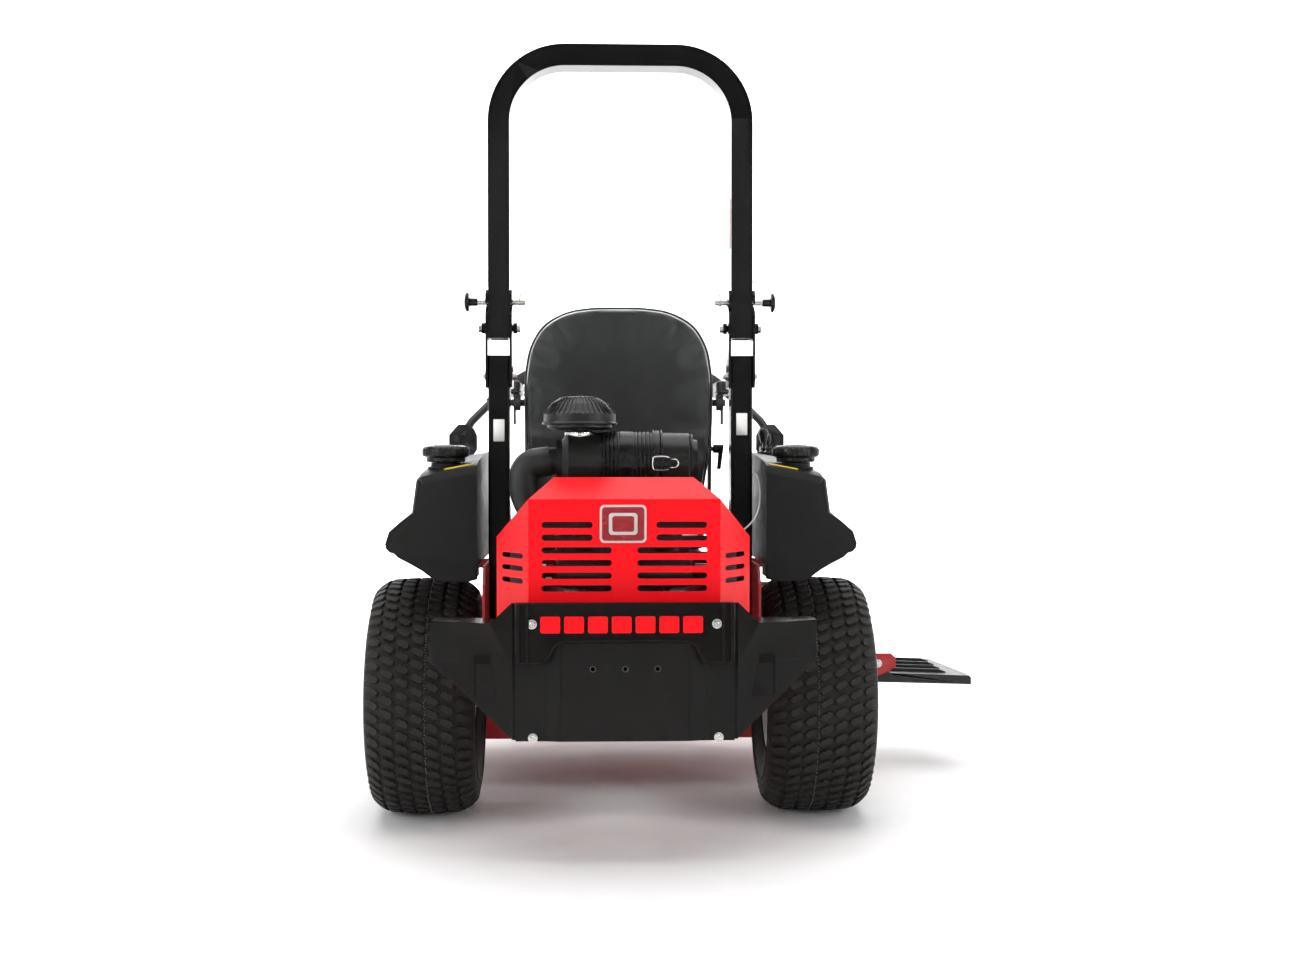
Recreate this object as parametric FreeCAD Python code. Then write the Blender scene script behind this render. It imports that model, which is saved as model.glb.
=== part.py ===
"""Zero-turn riding lawn mower with a folding roll bar and a side-discharge deck.

Machine axes: X to the operator's right, Y forward, Z up. Sizes are millimetres.
While the parts are made, Y = 0 is the rear axle, X = 0 the centre plane and Z = 0 the ground.
At the end everything is moved level so that the origin is under the middle of the whole machine.
"""
import FreeCAD, Part
import math
import os

V = FreeCAD.Vector
X, Y, Z = V(1, 0, 0), V(0, 1, 0), V(0, 0, 1)

# ---- driving dimensions ----
TYRE_R, TYRE_W = 279.5, 258          # rear tyre, 22 x 11-10
REAR_X = 460                         # rear wheel centre
CASTER_R, CASTER_W = 165, 118        # front tyre, 13 x 5-6
CASTER_X, CASTER_Y, TRAIL = 480, 1230, 60
RAIL_X, RAIL_W, RAIL_Z0, RAIL_Z1 = 285, 50, 350, 420
RAIL_REAR, RAIL_FRONT = -530, 1200
ROPS_X, ROPS_Y, ROPS_TUBE, ROPS_DEPTH = 287, -20, 51, 76
ROPS_TOP, ROPS_CORNER_R = 1820, 182  # top face, outer bend radius
HINGE_Z, LOCK_Z = 1154, 1216         # fold bolt and lock pin heights
ENGINE_Y = -290                      # crankshaft
BUMPER_Y, BUMPER_Z0, BUMPER_Z1 = -560, 262, 550
GUARD_Y, GUARD_SIDE_Y = -500, -380
GUARD_HALF, GUARD_SIDE_HALF, GUARD_TOP_HALF = 202, 275, 150
GUARD_FOLD_Z, GUARD_TOP_Z, GUARD_TOP_Y = 761, 806, -420
CLEANER_Y, CLEANER_Z, CLEANER_R = -300, 840, 63
DECK_Z0, DECK_Z1, DECK_WALL = 107, 235, 4
BLADE_R = 209
SPINDLES = {"left": (-385, 600), "centre": (20, 730), "right": (425, 600)}
BELT_Z, PULLEY_R, PTO_R = 333, 65, 72
SEAT_Z = 730                         # top of the cushion
FIT = 0.05                           # radial running clearance
GAP = 0.3                            # between bodies that pass each other
parts = {}


def box(x0, x1, y0, y1, z0, z1):
    return Part.makeBox(x1 - x0, y1 - y0, z1 - z0, V(x0, y0, z0))


def rod(r, start, end):
    start, end = V(*start), V(*end)
    return Part.makeCylinder(r, (end - start).Length, start, end - start)


def ring(r_out, r_in, start, end):
    return rod(r_out, start, end).cut(rod(r_in, start, end))


def prism(points, along):
    """Solid from a flat outline of (x, y, z) points, pushed along a vector."""
    ends = [V(*p) for p in points]
    return Part.Face(Part.makePolygon(ends + [ends[0]])).extrude(V(*along))


def loft(outlines):
    """Ruled solid through flat outlines that have the same number of points."""
    wires = [Part.makePolygon([V(*p) for p in o] + [V(*o[0])]) for o in outlines]
    return Part.makeLoft(wires, True, True)


def mirror(shape):
    return shape.mirror(V(0, 0, 0), X)


def joined(*shapes):
    """Several separate solids kept in one node."""
    return Part.makeCompound([s for shape in shapes for s in shape.Solids])


def fused(first, *others):
    return first.multiFuse(list(others)).removeSplitter()


def rounded(shape, radius, test):
    """Rounds the edges for which test(edge) is true."""
    return shape.makeFillet(radius, [e for e in shape.Edges if test(e)])


def runs_along(axis):
    """Test for straight edges that run along an axis."""
    def test(edge):
        if edge.Curve.TypeId != "Part::GeomLine":
            return False
        return abs(edge.tangentAt(edge.FirstParameter).dot(axis)) > 0.999
    return test


def turned(profile, centre, axis):
    """Solid of revolution: profile is (radius, along) points, along is measured on axis from centre."""
    side = X if abs(axis.dot(X)) < 0.5 else Z
    pts = [V(*centre) + side * r + axis * a for r, a in profile]
    return Part.Face(Part.makePolygon(pts + [pts[0]])).revolve(V(*centre), axis, 360)


def bent_path(points, radius_share=0.45):
    """Wire of straight runs and tangent arcs through hand-set points; prints the smallest arc radius."""
    pts = [V(*p) for p in points]
    edges, here, radii = [], pts[0], []
    for before, corner, after in zip(pts, pts[1:], pts[2:]):
        a, b = (before - corner), (after - corner)
        shorter = min(a.Length, b.Length)
        a.normalize()
        b.normalize()
        turn = math.pi - a.getAngle(b)
        cut = radius_share * shorter
        radii.append(cut / math.tan(turn / 2))
        start, end = corner + a * cut, corner + b * cut
        middle = (start + end) * 0.5
        to_corner = corner - middle
        centre_gap = radii[-1] / math.cos(turn / 2)
        mid = corner - to_corner * ((centre_gap - radii[-1]) / to_corner.Length)
        edges += [Part.LineSegment(here, start).toShape(), Part.Arc(start, mid, end).toShape()]
        here = end
    edges.append(Part.LineSegment(here, pts[-1]).toShape())
    print("arc radii", [round(r, 1) for r in radii])
    return Part.Wire(edges)


def tube_along(points, radius, radius_share=0.45):
    """Round bar along a bent path, its volume compared with section times length."""
    path = bent_path(points, radius_share)
    first = V(*points[1]) - V(*points[0])
    section = Part.Wire(Part.Circle(V(*points[0]), first, radius).toShape())
    solid = path.makePipeShell([section], True, False)
    print("  volume ratio", round(solid.Volume / (math.pi * radius**2 * path.Length), 4), "length",
          round(path.Length, 1))
    return solid


# ---- frame ----
def frame():
    for side, name in ((-1, "left"), (1, "right")):
        x0 = side * RAIL_X - RAIL_W / 2
        rail = box(x0, x0 + RAIL_W, RAIL_REAR, RAIL_FRONT, RAIL_Z0, RAIL_Z1)
        bore = box(x0 + 4, x0 + RAIL_W - 4, RAIL_REAR, RAIL_FRONT, RAIL_Z0 + 4, RAIL_Z1 - 4)
        rail = rounded(rail, 5, runs_along(Y)).cut(bore)
        # plates and pins that the deck hangs on
        hangers = []
        for y in HANGER_Y:
            face = side * (RAIL_X + RAIL_W / 2)
            hangers.append(box(min(face, face + side * 3), max(face, face + side * 3), y - 15, y + 15,
                               312, 380))
            hangers.append(rod(6, (face, y, 325), (side * 321, y, 325)))
            hangers.append(rod(11, (side * 318.5, y, 325), (side * 324, y, 325)))
        parts["frame_rail_" + name] = fused(rail, *hangers)

    beam_w, barrel_r = 60, 32
    beam = box(-CASTER_X, CASTER_X, RAIL_FRONT, RAIL_FRONT + beam_w, 362, 412)
    for side in (-1, 1):
        beam = beam.fuse(rod(barrel_r, (side * CASTER_X, CASTER_Y, 357), (side * CASTER_X, CASTER_Y,
                440)))
    for side in (-1, 1):
        beam = beam.cut(rod(16 + FIT, (side * CASTER_X, CASTER_Y, 350), (side * CASTER_X, CASTER_Y, 450)))
    parts["front_crossmember"] = beam.removeSplitter()

    plate = box(-310, 310, RAIL_REAR, -62, RAIL_Z1, RAIL_Z1 + 8)
    plate = plate.cut(rod(66, (0, ENGINE_Y, RAIL_Z1 - 1), (0, ENGINE_Y, RAIL_Z1 + 9)))
    parts["engine_plate"] = plate

    # foot platform: tread plate between the rails, kicked up over the front beam
    half, thick = 257, 4
    deep = [(-half, 640, 364), (-half, 1150, 364), (-half, 1196, 424), (-half, 1290, 452)]
    under = [(x, y + (4 if i > 1 else 0), z - thick) for i, (x, y, z) in enumerate(deep)]
    pan = prism(deep + under[::-1], (2 * half, 0, 0))
    parts["floor_pan"] = pan

    # sheet box under the seat, on the rails
    seat_box = box(-250, 250, 150, 620, RAIL_Z1, 560)
    seat_box = rounded(seat_box, 25, runs_along(Z))
    inner = rounded(box(-246, 246, 154, 616, RAIL_Z1, 556), 21, runs_along(Z))
    floor = box(-310, 310, 150, 620, RAIL_Z1, RAIL_Z1 + 4)
    opening = box(-200, 200, 200, 570, RAIL_Z1 - 1, RAIL_Z1 + 5)
    parts["seat_mount"] = fused(seat_box.cut(inner), floor.cut(opening))

    # side plates beside the rails, with a strut out under each tank above the tyre
    plates = []
    for side in (-1, 1):
        arch = [(310, 350), (316, 350), (316, 560), (330, 578), (470, 586), (486, 596), (486, 601),
                (310, 601)]
        strut = prism([(side * x, 60, z) for x, z in arch], (0, 6, 0))
        web_x = 310 if side > 0 else -316
        web = prism(
            [(web_x, -230, 400), (web_x, 520, 400), (web_x, 520, 625), (web_x, 440, 625),
             (web_x, 430, 601),
             (web_x, -200, 601), (web_x, -230, 560)],
            (6, 0, 0),
        )
        stub = rod(12, (side * 312, LAP_Y, LAP_Z), (side * 438, LAP_Y, LAP_Z))
        collar = rod(20, (side * 432.3, LAP_Y, LAP_Z), (side * 438, LAP_Y, LAP_Z))
        plates.append(fused(web, strut, stub, collar))
    parts["fender_brackets"] = joined(*plates)


# ---- roll bar ----
def rops():
    post_top = 1088
    plate_t = 6
    for side, name in ((-1, "left"), (1, "right")):
        cx = side * ROPS_X
        half_w, half_d = ROPS_TUBE / 2, ROPS_DEPTH / 2
        post = box(cx - half_w, cx + half_w, ROPS_Y - half_d, ROPS_Y + half_d, RAIL_Z1, post_top)
        post = rounded(post, 6, runs_along(Z))
        post = post.cut(box(cx - half_w + 5, cx + half_w - 5, ROPS_Y - half_d + 5, ROPS_Y + half_d - 5,
                            RAIL_Z1, post_top))
        ears = []
        for ear in (-1, 1):
            x_in = cx + ear * half_w
            x0 = x_in if ear > 0 else x_in - plate_t
            outline = [(x0, -58, 1012), (x0, 18, 1012), (x0, 24, 1028), (x0, 24, 1231),
                       (x0, 14, 1242), (x0, -54, 1242), (x0, -64, 1231), (x0, -64, 1028)]
            plate = prism(outline, (plate_t, 0, 0))
            plate = plate.cut(rod(8 + FIT, (x0 - 1, ROPS_Y, HINGE_Z), (x0 + plate_t + 1, ROPS_Y,
                    HINGE_Z)))
            # the lock pin swings out of the plate along an arc about the fold bolt
            arc_r, slot_r = LOCK_Z - HINGE_Z, 9
            band = ring(arc_r + slot_r, arc_r - slot_r, (x0 - 1, ROPS_Y, HINGE_Z),
                        (x0 + plate_t + 1, ROPS_Y, HINGE_Z))
            band = band.common(box(x0 - 1, x0 + plate_t + 1, -200, ROPS_Y, HINGE_Z, 1300))
            end = rod(slot_r, (x0 - 1, ROPS_Y, LOCK_Z), (x0 + plate_t + 1, ROPS_Y, LOCK_Z))
            ears.append(plate.cut(band).cut(end))
        bolt = rod(8, (cx - 44, ROPS_Y, HINGE_Z), (cx + 44, ROPS_Y, HINGE_Z))
        heads = [turned([(8, 0), (13, 0), (13, 9), (8, 9)], (cx + d * 33, ROPS_Y, HINGE_Z),
                        X * d) for d in (-1, 1)]
        parts["rops_upright_" + name] = joined(fused(post, *ears), fused(bolt, *heads))
        # the side plates are let in round the posts
        parts["fender_brackets"] = parts["fender_brackets"].cut(parts["rops_upright_" + name])

    # folding hoop: one bent box tube
    half_x, half_d = ROPS_X + ROPS_TUBE / 2, ROPS_DEPTH / 2
    foot = 1128
    outer = arch_face(half_x, foot, ROPS_TOP, ROPS_CORNER_R)
    inner = arch_face(half_x - ROPS_TUBE, foot, ROPS_TOP - ROPS_TUBE, ROPS_CORNER_R - ROPS_TUBE)
    hoop = outer.cut(inner).extrude(V(0, ROPS_DEPTH - 2, 0))
    wall = 4
    void = arch_face(half_x - wall, foot, ROPS_TOP - wall, ROPS_CORNER_R - wall).cut(
        arch_face(half_x - ROPS_TUBE + wall, foot, ROPS_TOP - ROPS_TUBE + wall,
                  ROPS_CORNER_R - ROPS_TUBE + wall))
    void = void.extrude(V(0, ROPS_DEPTH - 2 - 2 * wall, 0))
    void.translate(V(0, wall, 0))
    hoop = hoop.cut(void)
    hoop.translate(V(0, ROPS_Y - half_d + 1, 0))
    # the feet are slimmer so that they turn between the ears
    for side in (-1, 1):
        cx = side * ROPS_X
        for face in (-1, 1):
            x0 = cx + face * (ROPS_TUBE / 2)
            hoop = hoop.cut(box(min(x0, x0 - face * GAP), max(x0, x0 - face * GAP), -80, 40, foot - 1,
                                1250))
        for z, r in ((HINGE_Z, 8 + FIT), (LOCK_Z, 7 + FIT)):
            hoop = hoop.cut(rod(r, (cx - 40, ROPS_Y, z), (cx + 40, ROPS_Y, z)))
    parts["rops_hoop"] = hoop

    pins = []
    for side in (-1, 1):
        cx = side * ROPS_X
        inner_x, outer_x = cx - side * 62, cx + side * 52
        pin = rod(7, (inner_x, ROPS_Y, LOCK_Z), (outer_x, ROPS_Y, LOCK_Z))
        collar = turned([(0, 0), (9, 0), (9, 18), (19, 20), (21, 24), (19, 28), (8, 31), (0, 31)],
                        (outer_x, ROPS_Y, LOCK_Z), X * side)
        clip_x = cx - side * 48
        near, far = ROPS_Y - 9, ROPS_Y + 45
        clip = tube_along([(clip_x, near, LOCK_Z + 8.7), (clip_x, far, LOCK_Z + 11),
                           (clip_x, far, LOCK_Z - 11),
                           (clip_x, near, LOCK_Z - 8.7)], 1.6)
        pins += [fused(pin, collar), clip]
    parts["rops_lock_pins"] = joined(*pins)


def arch_face(half, foot, top, radius):
    """Upside-down U outline, filled, in the plane Y = 0."""
    k = radius * (1 - math.sqrt(0.5))
    pts = [V(-half, 0, foot), V(-half, 0, top - radius), V(-half + radius, 0, top),
           V(half - radius, 0, top), V(half, 0, top - radius), V(half, 0, foot)]
    left, right = V(-half + k, 0, top - k), V(half - k, 0, top - k)
    edges = [Part.LineSegment(pts[0], pts[1]), Part.Arc(pts[1], left, pts[2]), Part.LineSegment(pts[2],
            pts[3]),
             Part.Arc(pts[3], right, pts[4]), Part.LineSegment(pts[4], pts[5]), Part.LineSegment(pts[5],
                     pts[0])]
    return Part.Face(Part.Wire([e.toShape() for e in edges]))


# ---- engine ----
def engine():
    block_top = 600
    case = rod(118, (0, ENGINE_Y, RAIL_Z1 + 8), (0, ENGINE_Y, block_top))
    case = case.fuse(box(-95, 95, ENGINE_Y, ENGINE_Y + 150, RAIL_Z1 + 8, block_top - 30))
    blocks, heads = [case], []
    for side in (-1, 1):
        turn = FreeCAD.Rotation(Z, 90 + side * 133)
        barrel = box(90, 185, -52, 52, 452, 566)
        for i in range(7):
            x0 = 122 + 9 * i
            barrel = barrel.cut(box(x0, x0 + 5, -60, -40, 440, 580)).cut(box(x0, x0 + 5, 40, 60, 440,
                    580))
        head = rounded(box(185, 222, -58, 58, 446, 572), 12, runs_along(X))
        for shape in (barrel, head):
            shape.Placement = FreeCAD.Placement(V(0, ENGINE_Y, 0), turn)
        blocks.append(barrel)
        heads.append(head)
    case = fused(*blocks)
    case = case.cut(rod(16 + FIT, (0, ENGINE_Y, RAIL_Z1), (0, ENGINE_Y, 520)))
    flywheel = rod(116, (0, ENGINE_Y, block_top), (0, ENGINE_Y, 688))
    case = fused(case, flywheel)
    parts["engine_block"] = joined(case, *heads)

    shroud = turned([(0, 642), (150, 642), (150, 700), (128, 738), (60, 752), (0, 752)], (0, ENGINE_Y, 0),
                    Z)
    shroud = shroud.fuse(rod(130, (0, ENGINE_Y, block_top), (0, ENGINE_Y, 645)))
    hollow = turned([(0, block_top), (122, block_top), (122, 650), (142, 650), (142, 697), (122, 731),
                     (58, 744), (0, 744)],
                    (0, ENGINE_Y, 0), Z)
    shroud = shroud.cut(hollow)
    for i in range(12):
        a = math.radians(30 * i)
        slot = box(62, 118, -6, 6, 690, 780)
        slot.Placement = FreeCAD.Placement(V(0, ENGINE_Y, 0), FreeCAD.Rotation(Z, math.degrees(a)))
        shroud = shroud.cut(slot)
    parts["blower_housing"] = shroud

    # silencer across the rear, above the cylinder heads
    y, z = -456, 608
    can = rounded(rod(30, (-150, y, z), (150, y, z)), 12, lambda e: e.Curve.TypeId == "Part::GeomCircle")
    tail = ring(14, 12, (150, y, z), (212, y, z))
    parts["muffler"] = joined(can, tail)

    # power take-off pulley and clutch on the crankshaft's lower end
    pulley = turned([(0, 318), (30, 318), (PTO_R + 8, 322), (PTO_R + 8, 326), (PTO_R - 5.3, BELT_Z - 4),
                     (PTO_R - 5.3, BELT_Z + 4),
                     (PTO_R + 8, 340), (PTO_R + 8, 344), (60, 348), (60, 400), (16, 400), (16, 500),
                     (0, 500)],
                    (0, ENGINE_Y, 0), Z)
    parts["pto_pulley"] = pulley


def air_cleaner():
    left, right = -146, 106
    cx = (left, CLEANER_Y, CLEANER_Z)
    wall = 3
    # profile of the canister: ribs at each end and a plain middle where the band sits
    ribs = []
    for a in (100, 109, 118, 127, 172, 181, 190, 199):
        ribs += [(CLEANER_R, a), (CLEANER_R + 2, a + 2), (CLEANER_R + 2, a + 5), (CLEANER_R, a + 7)]
    top = [(20, 0), (48, 0), (48, 12), (CLEANER_R, 26)] + ribs
    length = right - left - 38
    outside = top + [(CLEANER_R, length)]
    body = turned([(0, 0)] + outside + [(0, length)], cx, X)
    inside = turned([(0, wall), (45, wall), (45, 14), (CLEANER_R - wall, 28),
                     (CLEANER_R - wall, length + 1), (0, length + 1)], cx, X)
    neck_x = -95
    neck = rod(24, (neck_x, CLEANER_Y, CLEANER_Z + 40), (neck_x, CLEANER_Y, 921))
    neck_bore = rod(21, (neck_x, CLEANER_Y, CLEANER_Z + 30), (neck_x, CLEANER_Y, 922))
    port = ring(30, 26, (left - 22, CLEANER_Y, CLEANER_Z), (left + 6, CLEANER_Y, CLEANER_Z))
    body = body.fuse(neck).fuse(port).cut(inside).cut(neck_bore)
    body = body.cut(rod(26, (left - 23, CLEANER_Y, CLEANER_Z), (left + 4, CLEANER_Y, CLEANER_Z)))
    # strap round the middle, with a foot down to the blower housing
    strap = ring(CLEANER_R + 2, CLEANER_R, (-12, CLEANER_Y, CLEANER_Z), (24, CLEANER_Y, CLEANER_Z))
    foot = box(-12, 24, CLEANER_Y - 60, CLEANER_Y + 60, 752, 786)
    strap = strap.fuse(foot.cut(rod(CLEANER_R, (-13, CLEANER_Y, CLEANER_Z), (25, CLEANER_Y, CLEANER_Z))))
    parts["air_cleaner_housing"] = joined(body, strap)

    parts["air_filter_element"] = ring(52, 30, (-110, CLEANER_Y, CLEANER_Z), (60, CLEANER_Y, CLEANER_Z))

    # end cover with its flange, and two wire clips
    flange_x, end_x = 68.3, 152
    cover = turned([(0, 0), (CLEANER_R + 5, 0), (CLEANER_R + 5, 12), (CLEANER_R, 14), (CLEANER_R - 1, 76),
                    (CLEANER_R - 8, end_x - flange_x),
                    (48, end_x - flange_x), (47, 96), (0, 96)], (flange_x, CLEANER_Y, CLEANER_Z), X)
    cover = cover.cut(turned([(0, -1), (CLEANER_R - 4, -1), (CLEANER_R - 4, 74), (0, 74)],
                             (flange_x, CLEANER_Y, CLEANER_Z), X))
    clips = []
    for angle in (-4, 176):
        a = math.radians(angle)
        away = V(0, -math.cos(a), math.sin(a))
        up = V(0, math.sin(a), math.cos(a))
        c = V(flange_x, CLEANER_Y, CLEANER_Z) + away * (CLEANER_R + 7)
        loop = [c + up * 11 + X * 2, c + up * 11 + X * 40, c + X * 52, c - up * 11 + X * 40,
                c - up * 11 + X * 2]
        clips.append(tube_along([tuple(p) for p in loop], 1.7))
    parts["air_cleaner_cover"] = joined(cover, *clips)

    profile = [(24.2, 914), (54, 914), (58, 909), (72, 914), (72, 920), (80, 922), (80, 944), (74, 950),
               (62, 966),
               (44, 978), (0, 980), (0, 922), (24.2, 922)]
    cap = turned(profile, (neck_x, CLEANER_Y, 0), Z)
    parts["precleaner"] = cap

    # rubber elbow from the canister down towards the engine's intake
    neck_end = left - 22
    elbow = tube_along([(neck_end + 8, CLEANER_Y, CLEANER_Z), (neck_end - 50, CLEANER_Y, CLEANER_Z - 8),
                        (neck_end - 52, CLEANER_Y, CLEANER_Z - 75), (neck_end - 20, CLEANER_Y + 10,
                                CLEANER_Z - 130)], 33)
    bore = rod(30.2, (neck_end - 0.5, CLEANER_Y, CLEANER_Z), (neck_end + 20, CLEANER_Y, CLEANER_Z))
    parts["intake_elbow"] = elbow.cut(bore)


# ---- rear guard and bumper ----
def guard():
    t = 3
    foot_z = RAIL_Z1 + 8

    def shell(d):
        """Plan outline, d inside the outer face, open towards the front."""
        return [(-GUARD_SIDE_HALF + d, GUARD_SIDE_Y), (-GUARD_HALF + 0.6 * d, GUARD_Y + d),
                (GUARD_HALF - 0.6 * d, GUARD_Y + d), (GUARD_SIDE_HALF - d, GUARD_SIDE_Y)]

    outer = prism([(x, y, foot_z) for x, y in shell(0)], (0, 0, GUARD_TOP_Z - foot_z))
    inner = prism([(x, y, foot_z) for x, y in shell(t)], (0, 0, GUARD_TOP_Z - foot_z))
    skin = outer.cut(inner)
    # shoulders cut at a slant, level with the fold of the top flap
    for side in (-1, 1):
        away = [(side * GUARD_HALF, -600, GUARD_FOLD_Z), (side * 330, -600, GUARD_FOLD_Z - 148),
                (side * 330, -600, 900),
                (side * GUARD_HALF, -600, 900)]
        skin = skin.cut(prism(away, (0, 300, 0)))
    skin = skin.cut(box(-400, 400, -600, -300, GUARD_FOLD_Z, 900))
    # top flap leaning forward
    flap = [(-GUARD_HALF, GUARD_Y, GUARD_FOLD_Z), (GUARD_HALF, GUARD_Y, GUARD_FOLD_Z),
            (GUARD_TOP_HALF, GUARD_TOP_Y, GUARD_TOP_Z), (-GUARD_TOP_HALF, GUARD_TOP_Y, GUARD_TOP_Z)]
    skin = skin.fuse(prism(flap, (0, 1.4, -t)))
    # rows of louvre slots: four long pairs, two short pairs beside the badge, three on each side panel
    rows = [(573.4 + 26.7 * i, 27, 174) for i in range(4)]
    rows += [(573.4 + 26.7 * i, 67, 174) for i in (4, 5)]
    for z, near, far in rows:
        for side in (-1, 1):
            skin = skin.cut(slot_through(side * near, side * far, z, 6.5, -520, -480))
    for i in range(3):
        for side in (-1, 1):
            skin = skin.cut(slot_through(side * 214, side * 262, 587 + 26.5 * i, 5.5, -520, -370))
    parts["engine_guard"] = skin.removeSplitter()


def slot_through(x0, x1, z, half, y0, y1):
    """Round-ended slot along X, cut through Y."""
    lo, hi = min(x0, x1) + half, max(x0, x1) - half
    return box(lo, hi, y0, y1, z - half, z + half).fuse(rod(half, (lo, y0, z),
                                                            (lo, y1, z))).fuse(rod(half, (hi, y0, z),
                                                                    (hi, y1, z)))


def bumper():
    t = 4
    half = 227
    # lower plate: its middle stands 8 mm proud, with slanted sides and a lip underneath
    plan = [(-half, 0), (-166, 0), (-136, -8), (136, -8), (166, 0), (half, 0)]
    back = [(x, y + t) for x, y in plan[::-1]]
    plate = prism([(x, BUMPER_Y + y, BUMPER_Z0) for x, y in plan + back],
                  (0, 0, BUMPER_Z1 - BUMPER_Z0 - 4))
    lip = box(-half, half, BUMPER_Y + t, BUMPER_Y + 34, BUMPER_Z0, BUMPER_Z0 + t)
    top = box(-half, half, BUMPER_Y + t, GUARD_Y - 14, BUMPER_Z1 - 8, BUMPER_Z1 - 4)
    plate = fused(plate, lip, top)
    for x in (-67, 0, 67):
        plate = plate.cut(rod(4.5, (x, BUMPER_Y - 20, 412), (x, BUMPER_Y + 20, 412)))
    # two stays carry it on a cross bar at the rails' rear ends
    stays = [box(x0, x0 + 6, BUMPER_Y + t, RAIL_REAR - 6, RAIL_Z0 + 2, RAIL_Z1 - 2) for x0 in (-200, 194)]
    cross_bar = box(-310, 310, RAIL_REAR - 6, RAIL_REAR, RAIL_Z0, RAIL_Z1)
    parts["bumper_panel"] = fused(plate, *stays, cross_bar)

    # formed cover over the top half
    outline = [(-half, 420), (-half, BUMPER_Z1), (half, BUMPER_Z1), (half, 420), (162, 420), (134, 466),
               (-134, 466), (-162, 420)]
    cover = prism([(x, BUMPER_Y - 9, z) for x, z in outline], (0, -7, 0))
    legs = [box(x0, x0 + 40, BUMPER_Y - 9, BUMPER_Y, 424, BUMPER_Z1 - 4) for x0 in (-214, 174)]
    ribs = [prism([(x, BUMPER_Y - 16, 420), (x + 16, BUMPER_Y - 16, 420), (x + 12, BUMPER_Y - 22, 424),
                   (x + 4, BUMPER_Y - 22, 424)],
                  (0, 0, 126)) for x in (-half, half - 16)]
    parts["bumper_cover"] = fused(cover, *legs, *ribs)

    wings = []
    for side in (-1, 1):
        near, knee, far = 233, 281, 413

        def face(x):
            return BUMPER_Y + (x - near) * 0.62
        upper = [(near, 550), (knee, 503), (far, 500), (far, 424), (near, 420)]
        lower = [(near, 420), (far, 424), (far - 4, 412), (near, BUMPER_Z0)]
        up = [(side * x, face(x), z) for x, z in upper]
        low = [(side * x, face(x) + (422 - z) * 0.1, z) for x, z in lower]
        ledge = [(side * knee, face(knee), 500), (side * far, face(far), 500),
                 (side * far, face(far) + 90, 500), (side * knee, face(knee) + 150, 500)]
        pieces = [prism(up, (0, t, 0)), loft([low, [(x, y + t, z) for x, y, z in low]]),
                  prism(ledge, (0, 0, -t))]
        root = box(min(side * 226, side * 316), max(side * 226, side * 316), RAIL_REAR - 12,
                   RAIL_REAR - 6, 352, 418)
        pieces.append(root)
        wings.append(fused(*pieces))
    both = joined(*wings)
    for other in ("bumper_panel", "engine_plate", "frame_rail_left", "frame_rail_right"):
        both = both.cut(parts[other])
    parts["bumper_wings"] = both


# ---- fuel tanks ----
TANK_REAR, TANK_FRONT = -235, 420
CAP = (404, -150)                    # distance out from the centre plane, and y


def tanks():
    low = [(322, 604), (500, 626), (532, 641), (533, 655), (525, 680)]
    for side, name in ((-1, "left"), (1, "right")):
        # cross sections from the rear lip to the front end
        def section(y, lift, draw=0):
            top = [(476 - draw, 724), (466 - draw, 797), (455 - draw, 812 + lift), (372, 830 + lift),
                   (322, 838 + lift)]
            return [(side * x, y, z) for x, z in low + top]

        stations = [section(TANK_REAR, -26, 8), section(TANK_REAR + 40, 0), section(150, 22),
                    section(TANK_FRONT - 60, 22),
                    section(TANK_FRONT, -8, 14)]
        tank = loft(stations)
        # recess for the roll bar's foot and hinge plates
        clear = box(min(side * 300, side * 326), max(side * 300, side * 326), ROPS_Y - 50, ROPS_Y + 50,
                    600, 900)
        tank = tank.cut(clear)
        neck = rod(34, (side * CAP[0], CAP[1], 790), (side * CAP[0], CAP[1], 836))
        tank = tank.fuse(neck)
        tank = tank.cut(rod(26, (side * CAP[0], CAP[1], 700), (side * CAP[0], CAP[1], 840)))
        parts["fuel_tank_" + name] = tank

        # screw cap: skirt outside, plug inside the neck
        cx = (side * CAP[0], CAP[1], 0)
        cap = turned([(0, 836.3), (49, 836.3), (53, 840), (53, 866), (46, 876), (30, 878), (0, 878)], cx,
                     Z)
        cap = cap.fuse(rod(26 - FIT, (side * CAP[0], CAP[1], 812), (side * CAP[0], CAP[1], 840)))
        for i in range(12):
            a = math.radians(30 * i)
            groove = rod(3, (side * CAP[0] + 54.5 * math.cos(a), CAP[1] + 54.5 * math.sin(a), 830),
                         (side * CAP[0] + 54.5 * math.cos(a), CAP[1] + 54.5 * math.sin(a), 868))
            cap = cap.cut(groove)
        parts["fuel_cap_" + name] = cap


# ---- drive and wheels ----
HUB_R = 60


def transaxles():
    pieces = []
    for side in (-1, 1):
        case = rounded(box(min(side * 92, side * 232), max(side * 92, side * 232), -95, 100, 205, 312),
                       16, runs_along(X))
        pump = rod(44, (side * 150, 60, 300), (side * 150, 60, 318))
        horn = rod(40, (side * 232, 0, TYRE_R), (side * 318, 0, TYRE_R))
        shaft = rod(15, (side * 318, 0, TYRE_R), (side * 372, 0, TYRE_R))
        # bolted straight up to the rail
        foot = box(min(side * 262, side * 308), max(side * 262, side * 308), -50, 50, 300, RAIL_Z0)
        pieces.append(fused(case, pump, horn, shaft, foot))
    parts["transaxles"] = joined(*pieces)


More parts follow.
